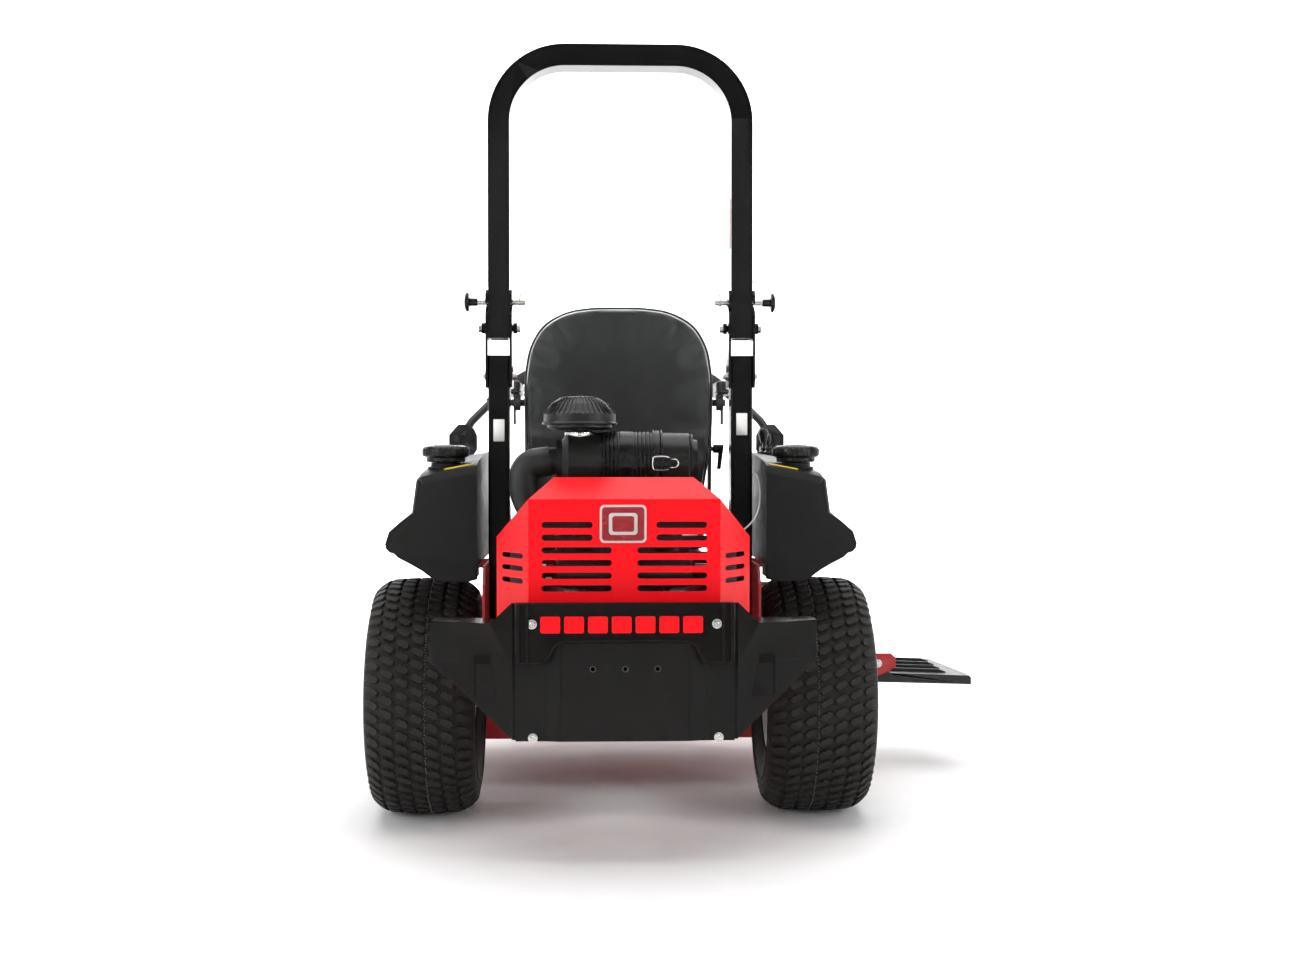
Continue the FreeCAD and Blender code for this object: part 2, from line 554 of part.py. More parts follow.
def rear_wheels():
    for side, name in ((-1, "left"), (1, "right")):
        centre = (side * REAR_X, 0, TYRE_R)
        h = TYRE_W / 2
        bead = 127
        tyre = turned([(bead, -88), (bead + 14, -100), (190, -h), (236, -h + 2), (268, -h + 26),
                       (TYRE_R - 4, -h + 60), (TYRE_R, 0),
                       (TYRE_R - 4, h - 60), (268, h - 26), (236, h - 2), (190, h), (bead + 14, 100),
                       (bead, 88),
                       (bead, 78), (200, h - 12), (252, h - 22), (266, 0), (252, -h + 22), (200, -h + 12),
                       (bead, -78)], centre, X)
        parts["rear_tyre_" + name] = tyre

        # rim: two bead flanges, a well, and a disc with five holes bolted to the hub
        rim = turned([(bead, -78), (bead, -88), (bead + 12, -101), (bead + 12, -105), (bead - 4, -92),
                      (bead - 6, -70), (104, -50), (104, 50),
                      (bead - 6, 70), (bead - 4, 92), (bead + 12, 105), (bead + 12, 101), (bead, 88),
                      (bead, 78), (108, 52), (108, -52)],
                     centre, X)
        # the disc sits towards the machine on the hub face
        disc = rod(105, (side * 396, 0, TYRE_R), (side * 402, 0, TYRE_R))
        for i in range(5):
            a = math.radians(72 * i + 18)
            c = (80 * math.cos(a), TYRE_R + 80 * math.sin(a))
            disc = disc.cut(rod(11, (side * 390, c[0], c[1]), (side * 410, c[0], c[1])))
        hub = rod(HUB_R, (side * 380, 0, TYRE_R), (side * 396, 0, TYRE_R)).fuse(rod(30,
                (side * 330, 0, TYRE_R), (side * 412, 0, TYRE_R)))
        hub = hub.cut(rod(15 + FIT, (side * 320, 0, TYRE_R), (side * 374, 0, TYRE_R)))
        nuts = []
        for i in range(5):
            a = math.radians(72 * i + 54)
            c = (45 * math.cos(a), TYRE_R + 45 * math.sin(a))
            nuts.append(rod(9, (side * 402, c[0], c[1]), (side * 416, c[0], c[1])))
        parts["rear_rim_" + name] = fused(rim, disc, hub, *nuts)


def casters():
    axle_y = CASTER_Y - TRAIL
    for side, name in ((-1, "left"), (1, "right")):
        cx = side * CASTER_X
        stem = rod(16, (cx, CASTER_Y, 346), (cx, CASTER_Y, 446))
        cap = rod(24, (cx, CASTER_Y, 440.3), (cx, CASTER_Y, 452))
        plate = rounded(box(cx - 78, cx + 78, axle_y - 26, CASTER_Y + 34, 343, 356.7), 12, runs_along(Z))
        arms = []
        for d in (-1, 1):
            x0 = cx + d * 74 - 5
            arms.append(prism([(x0, CASTER_Y + 24, 350), (x0, axle_y + 20, 350 - 205),
                               (x0, axle_y - 20, 350 - 205),
                               (x0, axle_y - 26, 260), (x0, CASTER_Y - 60, 350)], (10, 0, 0)))
        axle = rod(9, (cx - 86, axle_y, CASTER_R), (cx + 86, axle_y, CASTER_R))
        nuts = [rod(15, (cx + d * 79, axle_y, CASTER_R), (cx + d * 88, axle_y, CASTER_R)) for d in (-1,
                1)]
        parts["caster_fork_" + name] = fused(plate, stem, cap, *arms, axle, *nuts)

        centre = (cx, axle_y, CASTER_R)
        h = CASTER_W / 2
        tyre = turned([(76, -h + 12), (100, -h), (140, -h + 3), (158, -h + 22), (CASTER_R, -12),
                       (CASTER_R, 12), (158, h - 22), (140, h - 3),
                       (100, h), (76, h - 12)], centre, X)
        rim = turned([(9 + FIT, -h - 4), (22, -h - 4), (26, -h + 22), (68, -h + 20), (76, -h + 8),
                      (76, h - 8), (68, h - 20), (26, h - 22),
                      (22, h + 4), (9 + FIT, h + 4)], centre, X)
        parts["caster_wheel_" + name] = joined(tyre, rim)


# ---- seat ----
RECLINE = (290, 690)                 # y, z of the backrest hinge
ARM_PIVOT = (240, 985)               # y, z of the armrest hinges
CLAMP = (262, 868)                   # y, z of the recline clamp lever


def seat():
    # fixed slide rails on the seat box, and the pan with its sliders around them
    rails = [box(x - 15, x + 15, 260, 620, 560, 578) for x in (-165, 165)]
    parts["seat_mount"] = fused(parts["seat_mount"], *rails)

    pan = box(-222, 222, 300, 740, 584, 598)
    pan = pan.cut(box(-217, 217, 305, 735, 583, 594))
    pieces = [pan]
    for x in (-165, 165):
        slider = box(x - 20, x + 20, 300, 700, 564, 585)
        slider = slider.cut(box(x - 15 - GAP, x + 15 + GAP, 290, 710, 560, 578 + GAP))
        pieces.append(slider)
    for side in (-1, 1):
        y, z = RECLINE
        cheek = prism([(side * 240, 240, 588), (side * 240, 400, 588), (side * 240, 350, 690),
                       (side * 240, 318, 735),
                       (side * 240, 240, 735)], (side * 6, 0, 0))
        web = box(min(side * 218, side * 246), max(side * 218, side * 246), 300, 400, 588, 594)
        pin = rod(8, (side * 226, y, z), (side * 252, y, z))
        pieces += [cheek, web, pin]
    parts["seat_pan"] = fused(*pieces)

    cushion = box(-234, 234, 332, 765, 599, SEAT_Z)
    cushion = rounded(cushion, 60, runs_along(Z))
    parts["seat_cushion"] = cushion.makeFillet(26, [e for e in cushion.Edges if e.BoundBox.ZLength < 1])

    # backrest: arched outline pushed through its thickness, leaning back a little
    pad_t = 92
    outline = [(-206, 704), (-222, 800), (-236, 900), (-238, 1040), (-226, 1120), (-192, 1180),
               (-130, 1214), (-60, 1223)]
    outline += [(-x, z) for x, z in outline[::-1]]
    pad = prism([(x, 0, z) for x, z in outline], (0, pad_t, 0))
    pad = pad.makeFillet(24, [e for e in pad.Edges if e.BoundBox.YLength < 1])
    pad.rotate(V(0, 0, 704), X, 5)
    pad.translate(V(0, 226, 0))
    y, z = RECLINE
    pieces = []
    for side in (-1, 1):
        x0, x1 = side * 229, side * 238
        arm = ring(18, 8 + FIT, (x0, y, z), (x1, y, z))
        bar = prism([(x0, y - 16, z + 10), (x0, y + 12, z + 14), (x0, y - 20, 1000), (x0, y - 62, 1000)],
                    (x1 - x0, 0, 0))
        bar = bar.cut(rod(17, (x0 - side, y, z), (x1 + side, y, z)))
        stub = rod(9, (side * 225, *ARM_PIVOT), (side * 272, *ARM_PIVOT))
        pieces.append(fused(arm, bar, stub))
    boss = rod(6, (236, *CLAMP), (256, *CLAMP))
    pieces[1] = fused(pieces[1], boss)
    pad = pad.cut(joined(*pieces))
    parts["seat_backrest"] = fused(pad, *pieces)

    for side, name in ((-1, "left"), (1, "right")):
        y, z = ARM_PIVOT
        pad = rounded(box(min(side * 246, side * 292), max(side * 246, side * 292), 214, 486, 1003, 1042),
                      14, runs_along(Y))
        hub = ring(20, 9 + FIT, (side * 248, y, z), (side * 266, y, z))
        web = box(min(side * 248, side * 266), max(side * 248, side * 266), y - 18, y + 60, z + 12, 1006)
        web = web.cut(rod(19, (side * 240, y, z), (side * 270, y, z)))
        stop = box(min(side * 260, side * 266), max(side * 260, side * 266), y - 10, y + 22, 930, z - 14)
        parts["armrest_" + name] = fused(pad, hub, web, stop)

    y, z = CLAMP
    boss = ring(11, 6 + FIT, (242, y, z), (255, y, z)).fuse(rod(11, (255 + GAP + 1, y, z), (268, y, z)))
    boss = boss.fuse(ring(11, 8, (254, y, z), (257, y, z)))
    grip = loft([[(257, y - 6, z + 10), (270, y - 6, z + 10), (270, y + 6, z + 10), (257, y + 6, z + 10)],
                 [(252, y - 4, z - 52), (262, y - 4, z - 52), (262, y + 4, z - 52),
                  (252, y + 4, z - 52)]])
    grip = grip.cut(rod(11, (240, y, z), (256.5, y, z)))
    parts["recline_lever"] = fused(boss, grip)


# ---- hand controls ----
LAP_X, LAP_Y, LAP_Z, LAP_SWING_Z = 412, 480, 600, 860


def lap_bars():
    for side, name in ((-1, "left"), (1, "right")):
        x = side * LAP_X
        hub = ring(22, 12 + FIT, (x - 20, LAP_Y, LAP_Z), (x + 20, LAP_Y, LAP_Z))
        arm = box(x - 19, x + 19, LAP_Y + 1, LAP_Y + 13, LAP_Z + 16, 884)
        pin = rod(7, (x, LAP_Y - 9, LAP_SWING_Z), (x, LAP_Y + 13, LAP_SWING_Z))
        parts["lap_pivot_" + name] = fused(hub, arm, pin)

        outline = [(-22, 842), (22, 842), (38, 866), (38, 904), (30, 922), (14, 934), (-12, 934),
                   (-37, 906), (-37, 866)]
        plate = prism([(x - side * dx, LAP_Y - 8, z) for dx, z in outline], (0, 8, 0))
        plate = plate.cut(rod(7 + FIT, (x, LAP_Y - 12, LAP_SWING_Z), (x, LAP_Y + 2, LAP_SWING_Z)))
        bolts = [rod(9, (x + side * dx, LAP_Y - 13, z), (x + side * dx, LAP_Y - 7, z)) for dx,
                 z in ((18, 896), (-17, 899))]
        points = [(x - side * 4, LAP_Y - 4, 900), (x - side * 18, LAP_Y + 16, 938),
                  (side * 335, 580, 1004), (side * 250, 640, 1072),
                  (side * 170, 662, 1098), (side * 70, 668, 1104)]
        bar = tube_along(points, 11)
        grip = tube_along([(side * 338, 577, 1001.6), points[3], points[4], points[5]], 16, 0.4)
        parts["lap_bar_" + name] = fused(plate, bar, grip, *bolts)


def hand_levers():
    # small console on the right tank, with a throttle and a choke lever
    base = box(362, 410, 318, 398, 848, 860)
    pieces = []
    pivot_z = 868
    levers = (("throttle_lever", 380, 340, 903, 13, 20), ("choke_lever", 395, 372, 893, 8.5, 14))
    for name, x, y, knob_z, knob_r, knob_h in levers:
        for d in (-1, 1):
            x0 = x + d * 6.5 - 2
            pieces.append(box(x0, x0 + 4, y - 8, y + 8, 858, 876))
        pieces.append(rod(2.5, (x - 8, y, pivot_z), (x + 8, y, pivot_z)))
        hub = ring(6.5, 2.5 + FIT, (x - 4, y, pivot_z), (x + 4, y, pivot_z))
        stem = box(x - 2, x + 2, y - 3, y + 3, pivot_z + 5, knob_z)
        knob = turned([(0, -knob_h), (knob_r * 0.55, -knob_h), (knob_r, knob_h * 0.2),
                       (knob_r * 0.85, knob_h * 0.7),
                       (knob_r * 0.4, knob_h), (0, knob_h)], (x, y, knob_z), Z)
        parts[name] = fused(hub, stem, knob)
    console = fused(base, *pieces)
    parts["fuel_tank_right"] = joined(parts["fuel_tank_right"].cut(base), console)


# ---- mower deck ----
HANGER_Y = (500, 800)
CHUTE_X, CHUTE_Z = 700, 292          # hinge line of the discharge chute


def deck_outline(grow, z0, z1):
    """Rounded hull round the three spindles with a square side for the discharge."""
    corners = [V(*SPINDLES[name], z0) for name in ("left", "right", "centre")]
    wire = Part.makePolygon(corners + corners[:1]).makeOffset2D(BLADE_R + 14 + grow)
    hull = Part.Face(wire).extrude(V(0, 0, z1 - z0))
    return hull.fuse(box(425, 648 + grow, 440 - grow, 862 + grow, z0, z1)).removeSplitter()


def deck():
    shell = deck_outline(DECK_WALL, DECK_Z0, DECK_Z1)
    inside = deck_outline(0, DECK_Z0 - 1, DECK_Z1 - DECK_WALL)
    shell = shell.cut(inside).cut(box(600, 700, 440, 862, DECK_Z0 + 4, DECK_Z1 - DECK_WALL))
    for x, y in SPINDLES.values():
        shell = shell.cut(rod(36, (x, y, DECK_Z1 - 10), (x, y, DECK_Z1 + 1)))
    # slotted straps that hang on pins beside the rails
    straps = []
    for side in (-1, 1):
        for y in HANGER_Y:
            x0 = side * 316 - 2
            strap = box(x0, x0 + 4, y - 15, y + 15, DECK_Z1, 397)
            slot = box(x0 - 1, x0 + 5, y - 6.3, y + 6.3, 325, 385)
            ends = [rod(6.3, (x0 - 1, y, z), (x0 + 5, y, z)) for z in (325, 385)]
            foot = box(min(side * 314, side * 344), max(side * 314, side * 344), y - 15, y + 15, DECK_Z1,
                       DECK_Z1 + 4)
            straps.append(strap.cut(slot).cut(ends[0]).cut(ends[1]).fuse(foot))
    # chute hinge brackets, front and rear of the opening
    brackets = []
    for y0, toward in ((444, 1), (854, -1)):
        plate = prism([(600, y0, 235), (652, y0, 235), (735, y0, 274), (749, y0, 284), (749, y0, 306),
                       (735, y0, 319), (640, y0, 319),
                       (600, y0, 280)], (0, 4, 0))
        pin_y = y0 + 2 + toward * 12
        pin = rod(6, (CHUTE_X, y0 + 2, CHUTE_Z), (CHUTE_X, pin_y + toward * 8, CHUTE_Z))
        flange = box(600, 640, min(y0 + 2, y0 + 2 + toward * 26), max(y0 + 2, y0 + 2 + toward * 26), 235,
                     239)
        brackets += [plate, pin, flange]
    parts["deck_shell"] = fused(shell, *straps, *brackets)

    housings = []
    for x, y in SPINDLES.values():
        flange = turned([(12 + FIT, 200), (34, 200), (34, DECK_Z1), (70, DECK_Z1), (70, DECK_Z1 + 10),
                         (44, DECK_Z1 + 16),
                         (36, 316), (12 + FIT, 316)], (x, y, 0), Z)
        for i in range(6):
            a = math.radians(60 * i)
            bx, by = x + 58 * math.cos(a), y + 58 * math.sin(a)
            flange = flange.fuse(Part.makeCylinder(6, 8, V(bx, by, DECK_Z1 + 9)))
        housings.append(flange)
    parts["spindle_housings"] = joined(*housings)

    for name, (x, y) in SPINDLES.items():
        core = turned([(0, 112), (14, 112), (14, 118), (30, 118), (30, 124), (12, 124), (12, 322),
                       (30, 322), (30, 318.3), (40, 318.3),
                       (PULLEY_R + 8, 322), (PULLEY_R + 8, 326), (PULLEY_R - 5.3, BELT_Z - 4),
                       (PULLEY_R - 5.3, BELT_Z + 4),
                       (PULLEY_R + 8, 340), (PULLEY_R + 8, 344), (20, 346), (13, 350), (0, 350)],
                       (x, y, 0), Z)
        blade = box(x - BLADE_R, x + BLADE_R, y - 30, y + 30, 124, 130)
        blade = blade.common(rod(BLADE_R, (x, y, 120), (x, y, 140)))
        # cutting edges and the raised trailing wings
        for d in (-1, 1):
            bevel = prism([(x + d * 120, y + d * 30, 131), (x + d * 120, y + d * 20, 131),
                           (x + d * 120, y + d * 30, 124.5)], (d * 100, 0, 0))
            wing = prism([(x + d * 140, y - d * 30, 124), (x + d * 140, y - d * 24, 124),
                          (x + d * 140, y - d * 36, 146),
                          (x + d * 140, y - d * 41, 146)], (d * 56, 0, 0))
            blade = blade.cut(bevel).fuse(wing)
        spacer = ring(22, 12, (x, y, 130), (x, y, 199.5))
        parts["spindle_" + name] = joined(core, blade.cut(rod(12, (x, y, 120), (x, y, 140))), spacer)

    covers = []
    for name, (x, y) in (("left", SPINDLES["left"]), ("right", SPINDLES["right"])):
        side = -1 if name == "left" else 1
        x_in, x_out = x - side * 60, x + side * 92
        outline = [(x_in, y - 40), (x_in, y + 88), (x_out - side * 24, y + 88), (x_out, y + 60),
                   (x_out, y - 70), (x_out - side * 24, y - 94)]
        top = prism([(px, py, 354) for px, py in outline], (0, 0, 3))
        leg = box(min(x_out, x_out - side * 3), max(x_out, x_out - side * 3), y - 60, y + 60, DECK_Z1,
                  357)
        foot = box(min(x_out, x_out - side * 16), max(x_out, x_out - side * 16), y - 60, y + 60, DECK_Z1,
                   DECK_Z1 + 3)
        front = box(min(x_in, x_out) + 10, max(x_in, x_out) - 26, y + 85, y + 88, DECK_Z1, 357)
        front = front.cut(box(-999, x - 20, y + 80, y + 99, 320,
                              346)) if side > 0 else front.cut(box(x + 20, 999, y + 80, y + 99, 320, 346))
        covers.append(fused(top, leg, foot, front))
    parts["belt_covers"] = joined(*covers)

    loop = [(0, ENGINE_Y, PTO_R)] + [(*SPINDLES[n], PULLEY_R) for n in ("right", "centre", "left")]
    belt = belt_face([(x, y, r + 5) for x, y, r in loop]).cut(belt_face([(x, y, r - 5) for x, y,
            r in loop]))
    belt.translate(V(0, 0, BELT_Z - 3.5))
    parts["deck_belt"] = belt.extrude(V(0, 0, 7))


def belt_face(circles):
    """Face inside the outer tangents of circles (x, y, r) listed anticlockwise."""
    touches = []
    for (x1, y1, r1), (x2, y2, r2) in zip(circles, circles[1:] + circles[:1]):
        gap = math.hypot(x2 - x1, y2 - y1)
        dx, dy = (x2 - x1) / gap, (y2 - y1) / gap
        s = (r1 - r2) / gap
        c = math.sqrt(1 - s * s)
        nx, ny = dx * s + dy * c, dy * s - dx * c
        touches.append((V(x1 + r1 * nx, y1 + r1 * ny, 0), V(x2 + r2 * nx, y2 + r2 * ny, 0)))
    edges = []
    for i, (x, y, r) in enumerate(circles):
        arrive, leave = touches[i - 1][1], touches[i][0]
        mid = (arrive + leave) * 0.5 - V(x, y, 0)
        mid.normalize()
        edges += [Part.Arc(arrive, V(x, y, 0) + mid * r, leave).toShape(),
                  Part.LineSegment(leave, touches[i][1]).toShape()]
    return Part.Face(Part.Wire(edges))


def chute():
    near, far = 960, 917             # outer edge at the rear and at the front corner
    y0, y1 = 474, 828
    top = [(690, 264), (955, 254), (962, 246), (962, 230), (690, 238)]
    under = [(640, 268), (690, 260), (957, 250), (957, 220), (640, 220)]
    plan = [(600, y0), (near, y0), (far, y1), (600, y1)]
    inner_plan = [(600, y0 + 5), (near - 5, y0 + 5), (far - 5, y1 - 5), (600, y1 - 5)]
    tray = prism([(x, y0, z) for x, z in top], (0, y1 - y0, 0))
    tray = tray.common(prism([(x, y, 200) for x, y in plan], (0, 0, 100)))
    hollow = prism([(x, y0, z) for x, z in under], (0, y1 - y0, 0))
    hollow = hollow.common(prism([(x, y, 200) for x, y in inner_plan], (0, 0, 100)))
    tray = tray.cut(hollow)
    ribs = [prism([(700, y, 262), (900, y, 254), (900, y, 259), (880, y, 266), (700, y, 272)],
                  (0, 5, 0)) for y in (520, 600, 680, 760)]
    knuckles = []
    for ya, yb, reach in ((452, 470, 30), (832, 850, -30)):
        eye = ring(13, 6 + FIT, (CHUTE_X, ya, CHUTE_Z), (CHUTE_X, yb, CHUTE_Z))
        arm = prism([(694, ya, 281), (712, ya, 281), (740, ya, 262), (740, ya, 254), (694, ya, 258)],
                    (0, yb - ya, 0))
        root = yb if reach > 0 else ya
        arm = arm.fuse(box(694, 740, min(root, root + reach), max(root, root + reach), 255, 262))
        knuckles += [eye, arm.cut(rod(12, (CHUTE_X, ya - 1, CHUTE_Z), (CHUTE_X, yb + 1, CHUTE_Z)))]
    parts["discharge_chute"] = fused(tray, *ribs, *knuckles)


# ---- cords ----
def cords():
    for side, name in ((-1, "left"), (1, "right")):
        points = [(348, -20, 1206), (350, -27, 1184), (347, -44, 1160), (341, -64, 1170),
                  (332, -62, 1214),
                  (323, -48, 1251), (313.4, -40, 1268)]
        parts["lanyard_" + name] = tube_along([(side * x, y, z) for x, y, z in points], 0.8)

    # throttle cable, from the inner face of the right tank past the post to the engine shroud
    points = [(320, 130, 806), (320, 75, 809), (319.6, 18, 811), (319.4, -38, 810), (319, -94, 806),
              (318.5, -148, 793),
              (317, -196, 768), (311, -232, 732), (293, -256, 700), (257, -272, 675), (208, -282,
                      664), (149.5, -289, 664)]
    parts["throttle_cable"] = tube_along(points, 1.75)


MAKERS = [frame, rops, engine, air_cleaner, guard, bumper, tanks, transaxles, rear_wheels, casters, seat,
          lap_bars,
          hand_levers, deck, chute, cords]


def main():
    for make in MAKERS:
        make()
    whole = Part.makeCompound(list(parts.values())).BoundBox
    shift = V(-whole.Center.x, -whole.Center.y, -whole.ZMin)
    print("moved by", [round(v, 3) for v in shift], "size", round(whole.XLength), round(whole.YLength),
          round(whole.ZLength))
    os.makedirs("parts", exist_ok=True)
    for name, shape in parts.items():
        shape.translate(shift)
        shape.exportStep("parts/" + name + ".step")


main()
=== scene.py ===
import random
from math import cos, pi, radians, sin

import bmesh
import bpy
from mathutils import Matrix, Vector
from mathutils.kdtree import KDTree


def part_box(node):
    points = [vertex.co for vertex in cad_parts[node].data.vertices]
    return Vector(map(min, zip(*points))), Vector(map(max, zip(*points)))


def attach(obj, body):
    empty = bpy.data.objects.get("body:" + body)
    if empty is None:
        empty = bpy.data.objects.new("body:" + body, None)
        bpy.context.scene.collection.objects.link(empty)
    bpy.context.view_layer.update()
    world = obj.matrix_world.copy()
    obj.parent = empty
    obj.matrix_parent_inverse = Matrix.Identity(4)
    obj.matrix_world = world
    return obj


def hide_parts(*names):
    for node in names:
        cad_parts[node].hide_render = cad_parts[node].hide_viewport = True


"""Looks of the zero-turn mower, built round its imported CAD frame.

Places are worked out in millimetres on the machine's own axes: X to the operator's right from the
centre plane, Y forward from the rear axle, Z up from the ground. at() turns them into the frame's metres.
"""

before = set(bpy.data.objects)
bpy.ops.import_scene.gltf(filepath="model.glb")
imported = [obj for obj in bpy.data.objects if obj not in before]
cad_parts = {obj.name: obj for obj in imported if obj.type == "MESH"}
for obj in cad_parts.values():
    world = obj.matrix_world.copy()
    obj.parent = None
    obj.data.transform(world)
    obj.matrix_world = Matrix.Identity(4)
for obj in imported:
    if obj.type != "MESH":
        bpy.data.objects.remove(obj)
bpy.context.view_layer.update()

hoop_low, hoop_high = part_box("rops_hoop")
tyre_low, tyre_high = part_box("rear_tyre_left")
CENTRE_X = (hoop_low.x + hoop_high.x) / 2
AXLE_Y = (tyre_low.y + tyre_high.y) / 2
SIDES = ((-1, "left"), (1, "right"))
AX, AY, AZ = Vector((1, 0, 0)), Vector((0, 1, 0)), Vector((0, 0, 1))


def at(x, y, z):
    """A machine point in millimetres, as a frame point in metres."""
    return Vector((CENTRE_X + x / 1000, AXLE_Y + y / 1000, z / 1000))


# ---- materials ----
def surface(name, colour, rough, metal=0.0, coat=0.0, mottle=0.12, mottle_size=9.0, grain=0.0,
            grain_size=900.0, waves=0.0, wear=0.0, wear_colour=(0.3, 0.3, 0.3), rough_spread=0.06,
            cells=False, sheen=0.0, shine=0.5):
    """Procedural material: mottled colour, uneven roughness, fine grain, gentle waves and worn edges."""
    mat = bpy.data.materials.new(name)
    mat.use_nodes = True
    nodes, links = mat.node_tree.nodes, mat.node_tree.links
    shader = nodes["Principled BSDF"]
    shader.inputs["Metallic"].default_value = metal
    shader.inputs["Coat Weight"].default_value = coat
    shader.inputs["Coat Roughness"].default_value = 0.08
    shader.inputs["Sheen Weight"].default_value = sheen
    shader.inputs["Specular IOR Level"].default_value = shine
    place = nodes.new("ShaderNodeTexCoord").outputs["Object"]

    def noise_node(scale, detail=4.0, kind="ShaderNodeTexNoise"):
        node = nodes.new(kind)
        node.inputs["Scale"].default_value = scale
        if kind == "ShaderNodeTexNoise":
            node.inputs["Detail"].default_value = detail
        links.new(place, node.inputs["Vector"])
        return node

    def ramp(source, low, high, lo_pos=0.3, hi_pos=0.7):
        node = nodes.new("ShaderNodeValToRGB")
        for element, position, shade in zip(node.color_ramp.elements, (lo_pos, hi_pos), (low, high)):
            element.position = position
            element.color = shade
        links.new(source, node.inputs["Fac"])
        return node.outputs["Color"]

    cloud = noise_node(mottle_size)
    dark = tuple(max(0.0, c * (1 - mottle)) for c in colour) + (1.0,)
    light = tuple(min(1.0, c * (1 + mottle)) for c in colour) + (1.0,)
    out = ramp(cloud.outputs["Fac"], dark, light)
    if wear:
        edges = nodes.new("ShaderNodeNewGeometry").outputs["Pointiness"]
        mask = ramp(edges, (0, 0, 0, 1), (wear, wear, wear, 1), 0.51, 0.56)
        mix = nodes.new("ShaderNodeMix")
        mix.data_type = "RGBA"
        links.new(mask, mix.inputs["Factor"])
        links.new(out, mix.inputs["A"])
        mix.inputs["B"].default_value = (*wear_colour, 1.0)
        out = mix.outputs["Result"]
    links.new(out, shader.inputs["Base Color"])

    smear = noise_node(mottle_size * 3.1, 6.0)
    low, high = max(0.02, rough - rough_spread), min(1.0, rough + rough_spread)
    links.new(ramp(smear.outputs["Fac"], (low, low, low, 1), (high, high, high, 1)),
              shader.inputs["Roughness"])

    normal = None
    for amount, scale, distance in ((waves, 7.0, 0.004), (grain, grain_size, 0.0006)):
        if not amount:
            continue
        kind = "ShaderNodeTexVoronoi" if cells and scale == grain_size else "ShaderNodeTexNoise"
        texture = noise_node(scale, 3.0, kind)
        bump = nodes.new("ShaderNodeBump")
        bump.inputs["Strength"].default_value = amount
        bump.inputs["Distance"].default_value = distance
        links.new(texture.outputs["Distance" if kind == "ShaderNodeTexVoronoi" else "Fac"],
                  bump.inputs["Height"])
        if normal:
            links.new(normal, bump.inputs["Normal"])
        normal = bump.outputs["Normal"]
    if normal:
        links.new(normal, shader.inputs["Normal"])
    return mat


GLOSS_BLACK = surface("gloss_black", (0.0025, 0.0025, 0.0025), 0.13, waves=0.02, grain=0.03, wear=0.03,
                      shine=0.1, rough_spread=0.03)
BUMPER_BLACK = surface("bumper_black", (0.0042, 0.0035, 0.003), 0.2, waves=0.02, grain=0.04, wear=0.03,
                       shine=0.09, rough_spread=0.02)
RED = surface("red_paint", (0.93, 0.0, 0.006), 0.36, mottle=0.03, waves=0.02, grain=0.05, shine=0.22,
              rough_spread=0.03)
# a darker copy of the red paint for the red parts low in the machine: painted shade for the shadow they sit
# in
SHADED_RED = surface("red_paint_painted_shade", (0.42, 0.001, 0.004), 0.38, coat=0.1, mottle=0.12, grain=0.1,
                   wear=0.12, shine=0.3)
SATIN_BLACK = surface("satin_black", (0.012, 0.012, 0.012), 0.42, grain=0.15, wear=0.12, shine=0.3)
TANK_PLASTIC = surface("tank_plastic", (0.011, 0.0106, 0.0104), 0.46, shine=0.16, mottle=0.1, grain=0.35,
                       grain_size=1400.0)
DUCT_PLASTIC = surface("duct_plastic", (0.009, 0.0088, 0.0085), 0.34, shine=0.3, mottle=0.12, grain=0.25,
                       grain_size=1100.0)
CAP_PLASTIC = surface("cap_plastic", (0.006, 0.006, 0.0062), 0.26, shine=0.28, mottle=0.1, grain=0.12)
TYRE = surface("tyre_rubber", (0.0125, 0.0115, 0.0105), 0.6, shine=0.2, mottle=0.25, mottle_size=26.0,
               grain=0.5, grain_size=700.0, wear=0.2, wear_colour=(0.045, 0.041, 0.037))
RUBBER = surface("soft_rubber", (0.013, 0.0125, 0.012), 0.45, shine=0.35, mottle=0.15, grain=0.3)
FOAM = surface("grip_foam", (0.018, 0.018, 0.018), 0.78, mottle=0.2, grain=0.9, grain_size=1500.0, cells=True)
VINYL = surface("seat_vinyl", (0.03, 0.032, 0.032), 0.42, shine=0.3, mottle=0.08, grain=0.4,
                grain_size=420.0, cells=True, sheen=0.1)
PIPING = surface("seat_piping", (0.03, 0.031, 0.032), 0.4, mottle=0.1, grain=0.3)
THREAD = surface("seat_thread", (0.012, 0.012, 0.012), 0.7, mottle=0.2, grain=0.4)
ZINC = surface("zinc_steel", (0.62, 0.61, 0.58), 0.26, metal=1.0, mottle=0.15, mottle_size=60.0, grain=0.15)
CHROME = surface("bright_steel", (0.82, 0.81, 0.79), 0.12, metal=1.0, mottle=0.06, grain=0.05)
CAST = surface("cast_alloy", (0.33, 0.33, 0.33), 0.5, metal=0.85, mottle=0.25, mottle_size=30.0, grain=0.7,
               grain_size=500.0)
RIM_PAINT = surface("rim_paint", (0.52, 0.51, 0.48), 0.35, mottle=0.08, coat=0.2, grain=0.1, wear=0.2)
LABEL_GREY = surface("pale_rubber_dust", (0.3, 0.29, 0.27), 0.7, mottle=0.3, grain=0.1)
PALE_SLEEVE = surface("pale_sleeve", (0.42, 0.42, 0.41), 0.45, mottle=0.1, grain=0.15)
